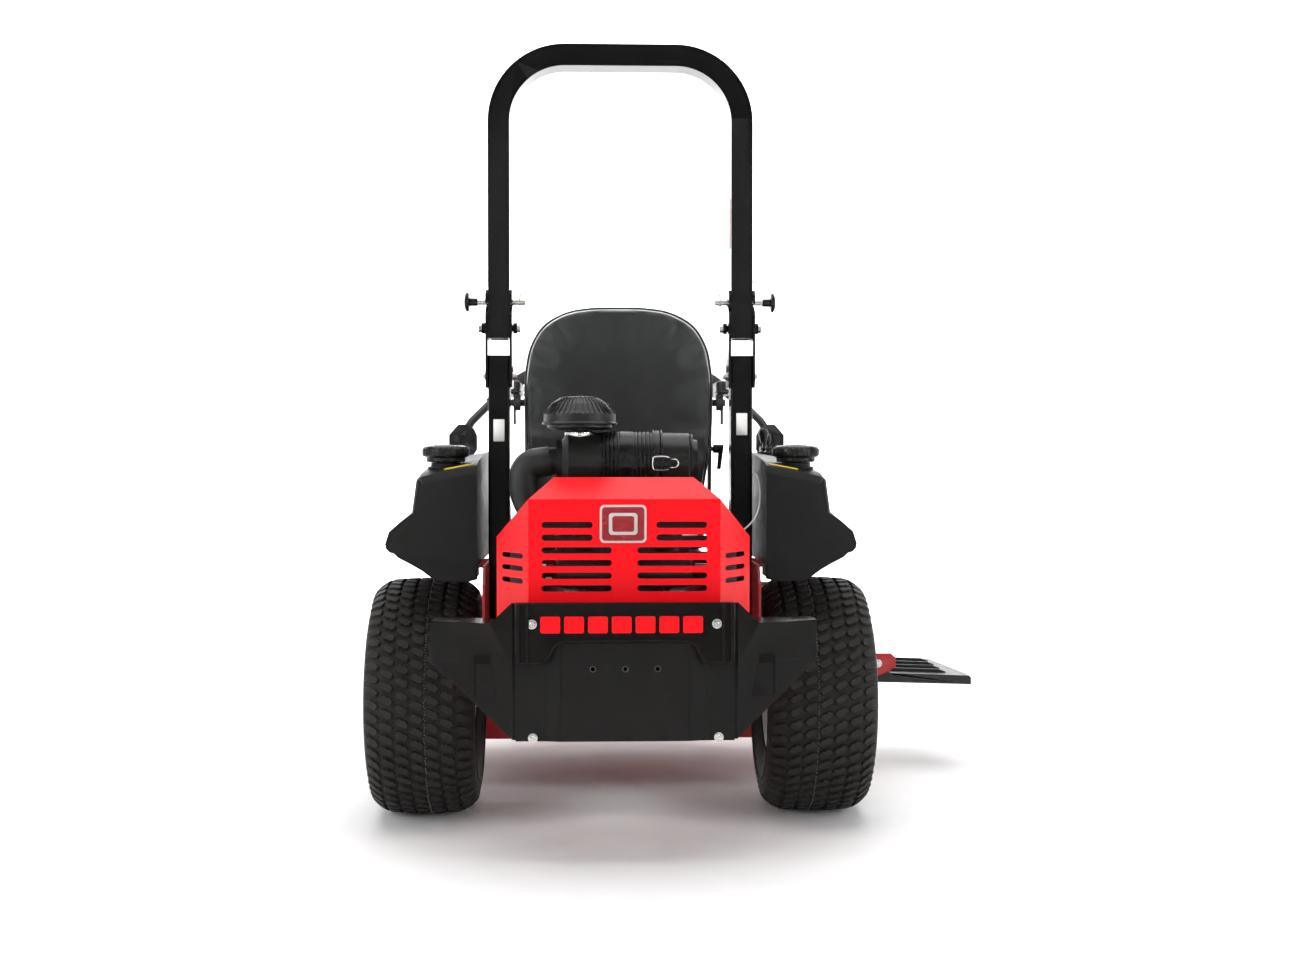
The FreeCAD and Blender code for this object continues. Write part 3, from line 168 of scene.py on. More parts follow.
# plain white for the blank labels, and for the plates behind the guard's slots that paint the light seen
# through them
LABEL_AND_PAINTED_LIGHT = surface("blank_label_and_painted_light", (0.85, 0.84, 0.82), 0.5, mottle=0.04, grain=0.1)
YELLOW = surface("yellow_strip", (0.85, 0.62, 0.03), 0.4, mottle=0.08, grain=0.1)
SILVER = surface("badge_silver", (0.6, 0.58, 0.55), 0.35, metal=0.35, mottle=0.05, grain=0.05)
BADGE_RED = surface("badge_red", (0.28, 0.002, 0.008), 0.25, coat=0.4, mottle=0.08, grain=0.05)
PAPER = surface("filter_paper", (0.72, 0.66, 0.5), 0.85, mottle=0.1, grain=0.5)

FINISHES = (
    (RED, "frame_rail_left frame_rail_right front_crossmember engine_guard"),
    # the lower red parts take the darker copy of the red paint: painted shade
    (SHADED_RED, "engine_plate seat_mount fender_brackets deck_shell"),
    (GLOSS_BLACK, "rops_upright_left rops_upright_right rops_hoop"),
    (BUMPER_BLACK, "bumper_panel"),
    (SATIN_BLACK, "floor_pan muffler seat_pan belt_covers caster_fork_left caster_fork_right"),
    (SATIN_BLACK, "lap_pivot_left lap_pivot_right lap_bar_left lap_bar_right"),
    (CAST, "engine_block transaxles spindle_housings"),
    (DUCT_PLASTIC, "blower_housing air_cleaner_housing precleaner air_cleaner_cover"),
    (CAP_PLASTIC, "recline_lever throttle_lever choke_lever"),
    (RUBBER, "intake_elbow deck_belt discharge_chute"),
    (ZINC, "rops_lock_pins spindle_left spindle_centre spindle_right pto_pulley"),
    (RIM_PAINT, "rear_rim_left rear_rim_right"),
    (PAPER, "air_filter_element"),
)
# width of the rounded edge in mm, and the CAD nodes that get it
SOFT_EDGES = (
    (3.0, "rops_hoop"),
    (1.5, "discharge_chute recline_lever throttle_lever choke_lever"),
    (1.2, "rops_upright_left rops_upright_right"),
    (1.0, "engine_guard deck_shell lap_bar_left lap_bar_right"),
    (0.8, "seat_pan"),
)


def finish_cad_nodes():
    """Gives each CAD node its material, and soft edges where light should catch them."""
    for mat, names in FINISHES:
        for name in names.split():
            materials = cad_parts[name].data.materials
            for index in range(len(materials)):
                materials[index] = mat
            if len(materials) == 0:
                materials.append(mat)
    for width, names in SOFT_EDGES:
        for name in names.split():
            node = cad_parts[name]
            weld = node.modifiers.new("weld", "WELD")
            weld.merge_threshold = 0.00002
            flats = node.modifiers.new("whole_faces", "DECIMATE")
            flats.decimate_type = "DISSOLVE"
            flats.angle_limit = radians(0.4)
            soften(node, width)
            even = node.modifiers.new("even_normals", "WEIGHTED_NORMAL")
            even.keep_sharp = True


# ---- mesh helpers ----
def new_object(name, data):
    obj = bpy.data.objects.new(name, data)
    bpy.context.scene.collection.objects.link(obj)
    return obj


def evaluated(obj):
    """The object as it is after its modifiers."""
    return obj.evaluated_get(bpy.context.evaluated_depsgraph_get())


def link_mesh(name, bm, mat=None):
    """Turns a bmesh into an object in the scene."""
    bmesh.ops.recalc_face_normals(bm, faces=bm.faces)
    mesh = bpy.data.meshes.new(name)
    bm.to_mesh(mesh)
    bm.free()
    if mat:
        mesh.materials.append(mat)
    return new_object(name, mesh)


def piece(name, bm, mat, body, replaces=(), smooth=35):
    """Links a bmesh as a piece that rides on a body; edges over smooth degrees stay sharp."""
    obj = link_mesh(name, bm, mat)
    obj.data.shade_smooth()
    if smooth is not None:
        obj.data.set_sharp_from_angle(angle=radians(smooth))
    settle(obj, body, replaces)
    return obj


def settle(obj, body, replaces=()):
    """Puts a piece on its body, in place of the nodes that it stands for."""
    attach(obj, body)
    if replaces:
        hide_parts(*replaces)


def skin(bm, near, far):
    """Joins two rings of vertices with a band of faces."""
    for i in range(len(near)):
        j = (i + 1) % len(near)
        bm.faces.new((near[i], near[j], far[j], far[i]))


def lathe(bm, profile, centre, axis, segments=96):
    """Adds a turned surface: profile is (radius, along) in millimetres, about an axis through centre."""
    side = AZ if abs(axis.z) < 0.5 else AX
    other = axis.cross(side)
    rings = []
    for radius, along in profile:
        ring = []
        for i in range(segments):
            a = 2 * pi * i / segments
            reach = (side * cos(a) + other * sin(a)) * radius + axis * along
            ring.append(bm.verts.new(centre + reach / 1000))
        rings.append(ring)
    for near, far in zip(rings, rings[1:]):
        skin(bm, near, far)
    return rings


def solid(bm, near_points, far_points):
    """Adds a closed solid between two outlines of frame points."""
    near = [bm.verts.new(p) for p in near_points]
    far = [bm.verts.new(p) for p in far_points]
    bm.faces.new(near)
    bm.faces.new(far[::-1])
    skin(bm, far, near)


def prism(bm, points, along):
    """Adds a solid from a flat outline of frame points, pushed along a vector in metres."""
    solid(bm, points, [p + along for p in points])


def rounded_slab(bm, centre, half_u, half_v, u, v, w, thick, radius, steps=5):
    """Adds a rounded rectangle (u, v half sizes in mm) at centre, pushed thick mm along w."""
    points = []
    for su, sv, start in ((1, 1, 0), (-1, 1, 90), (-1, -1, 180), (1, -1, 270)):
        for i in range(steps + 1):
            a = radians(start + 90 * i / steps)
            x = su * (half_u - radius) + radius * cos(a)
            y = sv * (half_v - radius) + radius * sin(a)
            points.append(centre + (u * x + v * y) / 1000)
    prism(bm, points, w * (thick / 1000))


def hex_bolt(bm, centre, axis, across, height, flange=0.0):
    """Adds a hexagon head with a small chamfer, and a washer or flange under it."""
    if flange:
        washer = [(0.01, 0), (flange, 0), (flange, 1.6), (flange - 1, 2.2), (0.01, 2.2)]
        bm.faces.new(lathe(bm, washer, centre, axis, 32)[-1])
    head = [(across / 2, 0), (across / 2, height - 1.2), (across / 2 - 1.4, height)]
    bm.faces.new(lathe(bm, head, centre, axis, 6)[-1])


def spokes(count, start=0.0, upright=False):
    """Outward and sideways directions at even turns round Z, or round X for something upright."""
    for i in range(count):
        a = radians(start) + 2 * pi * i / count
        c, s = cos(a), sin(a)
        if upright:
            yield Vector((0, c, s)), Vector((0, -s, c))
        else:
            yield Vector((c, s, 0)), Vector((-s, c, 0))


def round_edges(bm, offset, segments):
    """Rounds the sharp edges of a padded block before it is stuffed."""
    sharp = [e for e in bm.edges if len(e.link_faces) == 2 and e.calc_face_angle(0) > 1.2]
    bmesh.ops.bevel(bm, geom=sharp, offset=offset, segments=segments, profile=0.6, affect="EDGES")


def soften(obj, width, segments=3, angle=35):
    """Rounds a piece's edges, width in mm, with a modifier."""
    bevel = obj.modifiers.new("soft_edges", "BEVEL")
    bevel.width = width / 1000
    bevel.segments = segments
    bevel.limit_method = "ANGLE"
    bevel.angle_limit = radians(angle)


# ---- wheels ----
TYRE_R = (tyre_high.z - tyre_low.z) * 500
TYRE_W = (tyre_high.x - tyre_low.x) * 1000
REAR_X = abs((tyre_low.x + tyre_high.x) / 2 - CENTRE_X) * 1000
LUG = 6.5                            # height of the tread blocks
COLUMN, LUGS_ROUND = 34, 58          # column pitch across, blocks round the tyre
BLOCK = [(-16, 3), (-12, 11.5), (-3, 12), (2.5, 7), (9, 6.5), (16, -3), (12, -11.5), (3, -12), (-2.5, -7),
         (-9, -6.5)]


def crown(u):
    """Radius of the carcass at u mm from the tyre's middle."""
    shoulder = max(0.0, (abs(u) - 74) / 50)
    return TYRE_R - LUG - 3.0 * (u / 75) ** 2 - 26 * shoulder ** 2


def on_tyre(x, radius, angle):
    """A point beside the rear axle, at radius mm and angle round it from the top backwards."""
    return at(x, -radius * sin(angle), TYRE_R + radius * cos(angle))


def tread_block(bm, side, u0, turn, outline):
    """One block of rubber standing on the carcass at u0 mm across and at angle turn round the axle."""
    rings = []
    for share, lift in ((1.0, -1.5), (0.97, LUG * 0.72), (0.86, LUG)):
        ring = []
        for u, v in outline:
            across = u0 + u * share
            across = max(-TYRE_W / 2 + 3, min(TYRE_W / 2 - 3, across))
            radius = crown(across) + lift
            angle = turn + v * share / TYRE_R
            ring.append(bm.verts.new(on_tyre(side * REAR_X + across, radius, angle)))
        rings.append(ring)
    for near, far in zip(rings, rings[1:]):
        skin(bm, near, far)
    bm.faces.new(rings[-1])


def rear_tyre(side, name):
    """Rear tyre: turned carcass, two raised rings on each wall and seven columns of blocks."""
    centre = at(side * REAR_X, 0, TYRE_R)
    bm = bmesh.new()
    tread = [(crown(u), u) for u in range(-118, 119, 8)]
    wall = [(128, -86), (140, -99), (162, -112), (196, -123), (222, -126), (crown(-118) - 4, -121)]
    bead = [(128, 86), (126, 80), (150, 70), (150, -70), (126, -80)]
    profile = wall + tread + [(r, -u) for r, u in wall[::-1]] + bead + wall[:1]
    lathe(bm, profile, centre, AX, 128)
    bmesh.ops.remove_doubles(bm, verts=bm.verts, dist=0.00002)
    for facing in (-1, 1):
        for radius, along in ((150, 107), (205, 125.5)):
            ring = ((-2, -1.5), (-1, 1.2), (1, 1.2), (2, -1.5))
            lathe(bm, [(radius + r, facing * (along + a)) for r, a in ring], centre, AX, 128)
    for column in range(-3, 4):
        u0 = column * COLUMN
        shoulder = abs(column) == 3
        for i in range(LUGS_ROUND):
            turn = 2 * pi * (i + 0.5 * (column % 2) + 0.18 * column) / LUGS_ROUND
            outline = [(side * u, v) for u, v in BLOCK]
            if shoulder:
                outward = 1 if column > 0 else -1
                outline = [(u * (1.25 if u * outward > 0 else 1.0), v) for u, v in outline]
            tread_block(bm, side, u0, turn, outline)
    piece("tyre_" + name, bm, TYRE, "rear_wheel_" + name, ["rear_tyre_" + name], 40)


def parting_line(side, name):
    """The row of small vent nibs left by the mould along the tread's middle."""
    bm = bmesh.new()
    rng = random.Random(7 + side)
    for i in range(260):
        angle = 2 * pi * (i + rng.uniform(-0.3, 0.3)) / 260
        across = 17 + rng.uniform(-1.2, 1.2)
        radius = crown(across) + LUG - 0.1
        spot = on_tyre(side * (REAR_X - across), radius, angle)
        away = Vector((0, -sin(angle), cos(angle)))
        lathe(bm, [(0.9, -0.5), (0.6, 0.55), (0.05, 0.6)], spot, away, 6)
    piece("mould_nibs_" + name, bm, LABEL_GREY, "rear_wheel_" + name, smooth=30)


def rim_hardware(side, name):
    """Wheel nuts, hub cap and valve in the rim's open dish."""
    bm = bmesh.new()
    hub = at(side * (REAR_X - 58), 0, TYRE_R)
    for out, _ in spokes(5, 54, upright=True):
        hex_bolt(bm, hub + out * 0.045, AX * side, 19, 15, 14)
    piece("wheel_nuts_" + name, bm, ZINC, "rear_wheel_" + name, smooth=30)
    bm = bmesh.new()
    lathe(bm, [(30, 0), (30, 13), (27, 16), (12, 18), (0.1, 18.5)], hub, AX * side, 48)
    piece("hub_cap_" + name, bm, CAP_PLASTIC, "rear_wheel_" + name, smooth=30)
    bm = bmesh.new()
    lathe(bm, [(0.1, 0), (4.5, 0), (4.2, 20), (3.4, 22), (3.4, 33), (0.1, 34)],
          at(side * (REAR_X + 20), 0, TYRE_R + 98), AX * side, 20)
    piece("valve_" + name, bm, RUBBER, "rear_wheel_" + name, smooth=30)


def caster_wheel(name):
    """Small front wheel: ribbed tyre and pressed rim with its bolts."""
    low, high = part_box("caster_wheel_" + name)
    radius = (high.z - low.z) * 500
    centre = (low + high) / 2
    bm = bmesh.new()
    profile = [(76, -46), (84, -53), (106, -59), (132, -57.5), (149, -49), (158, -38)]
    ribs = []
    for u in (-30, -10, 10, 30):
        top = radius - (u / 38) ** 2 * 2
        ribs += [(radius - 3.5, u - 8.6), (top, u - 7), (top, u + 7), (radius - 3.5, u + 8.6)]
    tread = profile + ribs + [(r, -u) for r, u in profile[::-1]]
    lathe(bm, tread, centre, AX, 96)
    piece("caster_tyre_" + name, bm, TYRE, "caster_roll_" + name, ["caster_wheel_" + name], 40)
    bm = bmesh.new()
    dish = [(77, -44), (80, -50), (76, -51), (72, -42), (66, -39), (50, -38), (30, -40), (24, -52), (22, -62),
            (9.2, -62)]
    lathe(bm, dish + [(r, -u) for r, u in dish[::-1]], centre, AX, 72)
    for facing in (-1, 1):
        for out, _ in spokes(4, 45, upright=True):
            hex_bolt(bm, centre + AX * (facing * 0.038) + out * 0.048, AX * facing, 13, 8, 10)
    piece("caster_rim_" + name, bm, RIM_PAINT, "caster_roll_" + name)


def wheels():
    for side, name in SIDES:
        rear_tyre(side, name)
        parting_line(side, name)
        rim_hardware(side, name)
        caster_wheel(name)


# ---- fuel tanks, caps and air cleaner ----
TANK_STATIONS = ((-235, -26, 8), (-225, -8, 2), (-195, 0, 0), (-60, 10, 0), (150, 22, 0), (360, 22, 0),
                 (405, 10, 4), (420, -8, 14))
CAP_X, CAP_Y = 404, -150


def tank_section(lift, draw):
    """The tank's outline (x, z) at one station, its top lifted and its upper side drawn in by some mm."""
    return [(327, 604), (410, 615), (500, 626), (524, 634), (532, 643), (533, 655), (525, 680), (500, 702),
            (476 - draw, 724), (471 - draw, 760), (466 - draw, 797), (455 - draw, 812 + lift),
            (415, 821 + lift), (372, 830 + lift), (327, 838 + lift), (327, 720)]


def carve(obj, cutter):
    """Cuts one closed mesh out of another for good."""
    tool = obj.modifiers.new("cut", "BOOLEAN")
    tool.operation, tool.solver, tool.object = "DIFFERENCE", "EXACT", cutter
    mesh = bpy.data.meshes.new_from_object(evaluated(obj))
    obj.modifiers.clear()
    obj.data = mesh
    bpy.data.objects.remove(cutter)


def fuel_tank(side, name):
    """Moulded tank shell, lofted through its stations, with a hole for the filler neck."""
    bm = bmesh.new()
    rings = []
    for y, lift, draw in TANK_STATIONS:
        rings.append([bm.verts.new(at(side * x, y, z)) for x, z in tank_section(lift, draw)])
    for near, far in zip(rings, rings[1:]):
        skin(bm, near, far)
    bm.faces.new(rings[0])
    bm.faces.new(rings[-1])
    tank = piece("tank_shell_" + name, bm, TANK_PLASTIC, "chassis", ["fuel_tank_" + name], 34)
    bm = bmesh.new()
    hole = lathe(bm, [(33, 0), (33, 260)], at(side * CAP_X, CAP_Y, 700), AZ, 48)
    bm.faces.new(hole[0])
    bm.faces.new(hole[-1])
    carve(tank, link_mesh("tank_cutter", bm))
    tank.data.shade_smooth()
    tank.data.set_sharp_from_angle(angle=radians(60))
    soften(tank, 4.0, 3, 18)


def filler_neck(side, name):
    """Filler neck with its rolled collar, open down into the tank."""
    bm = bmesh.new()
    neck = [(33.5, 700), (34, 818), (41, 820), (42, 823), (41, 826), (34, 827), (34, 834), (33, 836),
            (27, 836), (26, 834), (26, 702), (0.05, 701)]
    lathe(bm, [(r, z - 700) for r, z in neck], at(side * CAP_X, CAP_Y, 700), AZ, 64)
    piece("filler_neck_" + name, bm, TANK_PLASTIC, "chassis")


def tank_seam(side, name):
    """Moulded parting seam along the tank's outer edge."""
    bm = bmesh.new()
    for y0, y1 in ((-232, -120), (-120, 0), (0, 120), (120, 240), (240, 360), (360, 416)):
        section = ((531.5, 650), (534.5, 650), (534.5, 652.5), (531.5, 652.5))
        prism(bm, [at(side * x, y0, z) for x, z in section], AY * ((y1 - y0) / 1000))
    piece("tank_seam_" + name, bm, TANK_PLASTIC, "chassis", smooth=None)


def tank_skirt(side, name):
    """Moulded gusset under the tank's rear end, hanging behind the tyre."""
    outline = [(327, 606), (410, 617), (500, 627.5), (516, 632), (505, 621), (478, 607), (452, 592),
               (428, 574), (412, 568), (350, 566), (327, 572)]
    bm = bmesh.new()
    prism(bm, [at(side * x, -230, z) for x, z in outline], AY * 0.012)
    prism(bm, [at(side * x, -222, z) for x, z in ((331, 572), (337, 572), (337, 608), (331, 608))], AY * 0.12)
    skirt = piece("tank_skirt_" + name, bm, TANK_PLASTIC, "chassis")
    soften(skirt, 2.0, 3, 50)


def strip_on_tank(side, name):
    """Plain caution strip lying on the tank's sloping top."""
    bm = bmesh.new()
    corners = ((336, -213, 831.6), (402, -213, 819.3), (402, -191, 821.5), (336, -191, 833.8))
    prism(bm, [at(side * x, y, z) for x, y, z in corners], AZ * 0.002)
    piece("tank_strip_" + name, bm, YELLOW, "chassis", smooth=None)


def fuel_cap(side, name):
    """Ratchet cap: a knurled grip over a wide skirt, with a raised cross on top."""
    centre = at(side * CAP_X, CAP_Y, 836.3)
    bm = bmesh.new()
    low = [(35, 0), (35, 3), (29, 6), (29, 26), (0.1, 27)]
    outer = [(35, 0), (42, 0.3), (45, 2), (45, 10), (52, 14), (53, 17), (53, 29), (51.5, 33), (46, 37),
             (40, 38.5), (34, 38.5), (32, 36.5), (14, 37.2), (12, 40.5), (10, 41.4), (0.1, 41.5)]
    lathe(bm, outer, centre, AZ, 96)
    lathe(bm, low, centre, AZ, 64)
    for out, along in spokes(28):
        corners = []
        for r, z in ((51.5, 13.5), (54, 16), (54.3, 30), (51, 34.5), (44, 38), (42, 36)):
            corners.append(centre + out * (r / 1000) - along * 0.0022 + AZ * (z / 1000))
        prism(bm, corners, along * 0.0044)
    for out, along in list(spokes(4, 20))[:2]:
        rounded_slab(bm, centre + AZ * 0.036, 29, 2.6, out, along, AZ, 4.4, 2.4)
    cap = piece("fuel_cap_grip_" + name, bm, CAP_PLASTIC, "fuel_cap_" + name,
                ["fuel_cap_" + name], 35)
    soften(cap, 0.6, 2, 40)


def lever_console():
    """Little housing on the right tank that the throttle and choke levers come out of."""
    bm = bmesh.new()
    rounded_slab(bm, at(386, 358, 846), 24, 40, AX, AY, AZ, 14, 7)
    for x, y in ((380, 340), (395, 372)):
        for ear in (-9, 6):
            rounded_slab(bm, at(x + ear, y, 866), 9, 8, AY, AZ, AX, 3, 5)
        lathe(bm, [(0.05, -9), (2.5, -9), (2.5, 9), (0.05, 9)], at(x, y, 868), AX, 16)
    console = piece("lever_console", bm, CAP_PLASTIC, "chassis")
    soften(console, 0.8, 2)


def precleaner_fins():
    """Fins of the pre-cleaner, its top button and the rolled rim under them."""
    centre = at(-95, -300, 0)
    bm = bmesh.new()
    for out, along in spokes(40):
        corners = []
        for r, z in ((79.6, 943), (80.9, 945), (75.5, 951.5), (63, 967.5), (45, 979.3), (40, 978),
                     (60, 963), (72, 948)):
            corners.append(centre + out * (r / 1000) - along * 0.0016 + AZ * (z / 1000))
        prism(bm, corners, along * 0.0032)
    button = [(38, 977), (41, 980.5), (36, 982), (30, 980.5), (8, 981.5), (6, 985), (0.1, 986)]
    lathe(bm, button, centre, AZ, 72)
    lathe(bm, [(80.2, 920), (84, 921), (84.5, 924), (82, 926.5), (80.2, 926)], centre, AZ, 96)
    piece("precleaner_fins", bm, CAP_PLASTIC, "chassis")


def neck_band():
    """Bright clamp round the pre-cleaner's neck."""
    centre = at(-95, -300, 0)
    bm = bmesh.new()
    lathe(bm, [(25.0, 893), (32.5, 894), (34, 898), (34, 903), (31, 906), (25.5, 907)], centre, AZ, 64)
    hex_bolt(bm, at(-95, -336, 899), -AY, 9, 7, 6)
    piece("neck_band", bm, CHROME, "chassis")


def housing_ribs():
    """Strap and moulded ribs round the air cleaner's housing."""
    axis_line = at(0, -300, 840)
    bm = bmesh.new()
    lathe(bm, [(63.5, -8), (66.4, -8), (67, -6), (67, 20), (66.4, 22), (63.5, 22)], axis_line, AX, 120)
    for x in (-46, -37, -28, -19, 27, 36, 45, 54):
        lathe(bm, [(62.8, x - 1.6), (65.4, x - 0.9), (65.4, x + 0.9), (62.8, x + 1.6)], axis_line, AX, 120)
    for x in (64.8, 82.5):
        lathe(bm, [(62.8, x), (69.4, x + 0.4), (69.9, x + 2.4), (69.4, x + 3.6), (62.8, x + 3.8)],
              axis_line, AX, 120)
    piece("housing_ribs", bm, CAP_PLASTIC, "chassis")


def cover_ribs():
    """Pressed rings and ribs on the end face of the air cleaner's cover."""
    axis_line = at(0, -300, 840)
    bm = bmesh.new()
    for r in (60, 54, 46):
        lathe(bm, [(r, 151), (r - 0.6, 154), (r - 2.4, 154), (r - 3, 151)], axis_line, AX, 96)
    for out, along in spokes(6, 30, upright=True):
        rounded_slab(bm, axis_line + out * 0.053 + AX * 0.151, 6.5, 2.2, out, along, AX, 3.2, 2)
    piece("cover_ribs", bm, DUCT_PLASTIC, "air_cover")


def tube(name, points, radius, mat, body, nurbs=False, closed=False):
    """A round wire or pipe through frame points."""
    curve = bpy.data.curves.new(name, "CURVE")
    curve.dimensions = "3D"
    curve.bevel_depth = radius / 1000
    curve.bevel_resolution = 4
    curve.resolution_u = 10
    spline = curve.splines.new("NURBS" if nurbs else "POLY")
    spline.points.add(len(points) - 1)
    for point, spot in zip(spline.points, points):
        point.co = (*spot, 1)
    if nurbs:
        spline.order_u = 3
        spline.use_endpoint_u = not closed
    spline.use_cyclic_u = closed
    curve.use_fill_caps = True
    curve.materials.append(mat)
    obj = new_object(name, curve)
    settle(obj, body)
    return obj


def cover_clip(label, turn):
    """Bent wire latch that hooks the air cleaner's cover down."""
    def on_drum(x, arc, r=69.5):
        a = turn + arc / r
        return at(x, -300 - r * cos(a), 840 + r * sin(a))
    outline = [on_drum(64, 12), on_drum(64, -12), on_drum(70, -15), on_drum(96, -15), on_drum(104, -9, 71),
               on_drum(117, -9, 71), on_drum(121, 0, 72), on_drum(117, 9, 71), on_drum(104, 9, 71),
               on_drum(96, 15), on_drum(70, 15)]
    tube("cover_clip_" + label, outline, 1.5, CHROME, "air_cover", nurbs=True, closed=True)
    bm = bmesh.new()
    middle = on_drum(82, 0, 65)
    out = (middle - at(82, -300, 840)).normalized()
    rounded_slab(bm, middle, 12, 8, AX, AX.cross(out), out, 5.5, 3)
    holder = piece("clip_seat_" + label, bm, CAP_PLASTIC, "air_cover")
    soften(holder, 0.8, 2)


# ---- seat ----
BACK_OUTLINE = [(206, 704), (222, 800), (236, 900), (238, 1040), (226, 1120), (192, 1180), (130, 1214),
                (60, 1223)]
LEAN = radians(5)


def leaned(x, t, z):
    """A point of the backrest: t mm forward of its rear face before it is leaned back."""
    up = z - 704
    return at(x, 226 + t * cos(LEAN) - up * sin(LEAN), 704 + t * sin(LEAN) + up * cos(LEAN))


def rounded_path(points, share=0.45, steps=8, closed=False):
    """Polyline through points with true arcs at the corners."""
    path = [] if closed else [points[0]]
    count = len(points)
    for i in (range(count) if closed else range(1, count - 1)):
        before, corner, after = points[i - 1], points[i], points[(i + 1) % count]
        a, b = before - corner, after - corner
        cut = share * min(a.length, b.length)
        start, end = corner + a.normalized() * cut, corner + b.normalized() * cut
        turn = pi - a.angle(b)
        weight = cos(turn / 2)
        for k in range(steps + 1):
            t = k / steps
            parts = ((1 - t) ** 2, 2 * t * (1 - t) * weight, t ** 2)
            path.append((start * parts[0] + corner * parts[1] + end * parts[2]) / sum(parts))
    if not closed:
        path.append(points[-1])
    return path


def outline_ring(inset, t):
    """The backrest's outline as a loop of frame points, inset mm inwards."""
    half = [(x - inset, z) for x, z in BACK_OUTLINE]
    half[0] = (half[0][0], BACK_OUTLINE[0][1] + inset)
    half[-2:] = [(half[-2][0], half[-2][1] - inset), (60, BACK_OUTLINE[-1][1] - inset)]
    half[-3] = (half[-3][0] + inset * 0.3, half[-3][1] - inset * 0.7)
    full = half + [(-x, z) for x, z in half[::-1]]
    return rounded_path([leaned(x, t, z) for x, z in full], 0.45, 5, closed=True)


def puffed(name, bm, seams, reach, mat, body, replaces, slack, rise, pressure=4.0, voxel=0.006):
    """A stuffed cover: remeshed, held along its seams and blown up by a cloth simulation."""
    obj = link_mesh(name, bm)
    remesh = obj.modifiers.new("even", "REMESH")
    remesh.mode, remesh.voxel_size = "VOXEL", voxel
    smooth = obj.modifiers.new("round", "SMOOTH")
    smooth.factor, smooth.iterations = 0.6, 8
    obj.data = bpy.data.meshes.new_from_object(evaluated(obj))
    obj.modifiers.clear()
    tree = seam_tree(seams)
    group = obj.vertex_groups.new(name="held")
    gaps = [tree.find(vert.co)[2] for vert in obj.data.vertices]
    group.add([index for index, gap in enumerate(gaps) if gap < reach], 1.0, "REPLACE")
    # the cover is drawn in along the seams before it is stuffed
    for vert, gap in zip(obj.data.vertices, gaps):
        vert.co -= vert.normal * (slack * max(0.0, 1 - gap / 0.03))
    start = [v.co.copy() for v in obj.data.vertices]
    cloth = obj.modifiers.new("stuffing", "CLOTH")
    settings = cloth.settings
    settings.use_pressure = True
    settings.uniform_pressure_force = pressure
    settings.effector_weights.gravity = 0
    settings.vertex_group_mass = "held"
    settings.quality = 5
    settings.tension_stiffness = 12
    settings.compression_stiffness = 12
    settings.bending_stiffness = 1.5
    cloth.point_cache.frame_start, cloth.point_cache.frame_end = 1, 20
    for step in range(1, 21):
        bpy.context.scene.frame_set(step)
    moved = [v.co.copy() for v in evaluated(obj).data.vertices]
    obj.modifiers.clear()
    bpy.context.scene.frame_set(1)
    for vert, was, now in zip(obj.data.vertices, start, moved):
        step = now - was
        if step.length > rise:
            step *= rise / step.length
        vert.co = was + step
    obj.data.materials.clear()
    obj.data.materials.append(mat)
    obj.data.shade_smooth()
    after = obj.modifiers.new("calm", "SMOOTH")
    after.factor, after.iterations = 0.5, 3
    finer = obj.modifiers.new("finer", "SUBSURF")
    finer.levels = finer.render_levels = 1
    settle(obj, body, replaces)
    return obj


def seam_tree(seams):
    """Search tree over points every 4 mm along the seams."""
    points = []
    for seam in seams:
        for a, b in zip(seam, seam[1:]):
            count = max(1, int((b - a).length / 0.004))
            points += [a.lerp(b, k / count) for k in range(count)]
        points.append(seam[-1])
    tree = KDTree(len(points))
    for i, p in enumerate(points):
        tree.insert(p, i)
    tree.balance()
    return tree


def stitches(name, paths, body, out, pitch=0.008):
    """Rows of short thread stitches lying along paths, lifted a little along out."""
    bm = bmesh.new()
    for path in paths:
        length_left = 0.0
        for a, b in zip(path, path[1:]):
            span = (b - a).length
            if span < 1e-6:
                continue
            along = (b - a) / span
            t = length_left
            while t < span:
                centre = a + along * t
                side = along.cross(out)
                if side.length < 0.1:
                    side = along.orthogonal()
                side.normalize()
                up = side.cross(along).normalized()
                tip, low = along * 0.0027, centre + up * 0.0002
                ring = [low - tip, centre + side * 0.0006, low + tip, centre - side * 0.0006]
                top = bm.verts.new(centre + up * 0.0009)
                base = [bm.verts.new(p) for p in ring]
                for i in range(4):
                    bm.faces.new((base[i], base[(i + 1) % 4], top))
                t += pitch
            length_left = t - span
    piece(name, bm, THREAD, body, smooth=None)


def backrest():
    """Stuffed backrest with piping and stitches."""
    bm = bmesh.new()
    prism(bm, outline_ring(3, 3), leaned(0, 89, 704) - leaned(0, 3, 704))
    round_edges(bm, 0.022, 4)
    rear, front = outline_ring(4, 20), outline_ring(4, 72)
    panels = []
    for z in (838, 960, 1082):
        panels.append([leaned(x, 89, z) for x in range(-150, 151, 10)])
    for side in (-1, 1):
        edge = ((146, 735), (150, 838), (156, 960), (150, 1082), (128, 1170))
        panels.append([leaned(side * x, 89, z) for x, z in edge])
    seams = [rear + rear[:1], front + front[:1]] + panels
    puffed("backrest_cover", bm, seams, 0.0045, VINYL, "backrest", ["seat_backrest"], 0.004, 0.016)
    for label, t in (("rear", 20), ("front", 72)):
        tube("backrest_piping_" + label, outline_ring(1.5, t), 2.6, PIPING, "backrest",
             closed=True)
    rows = [outline_ring(3.0, 28), outline_ring(3.0, 64)]
    stitches("backrest_stitches", [r + r[:1] for r in rows], "backrest", AZ)


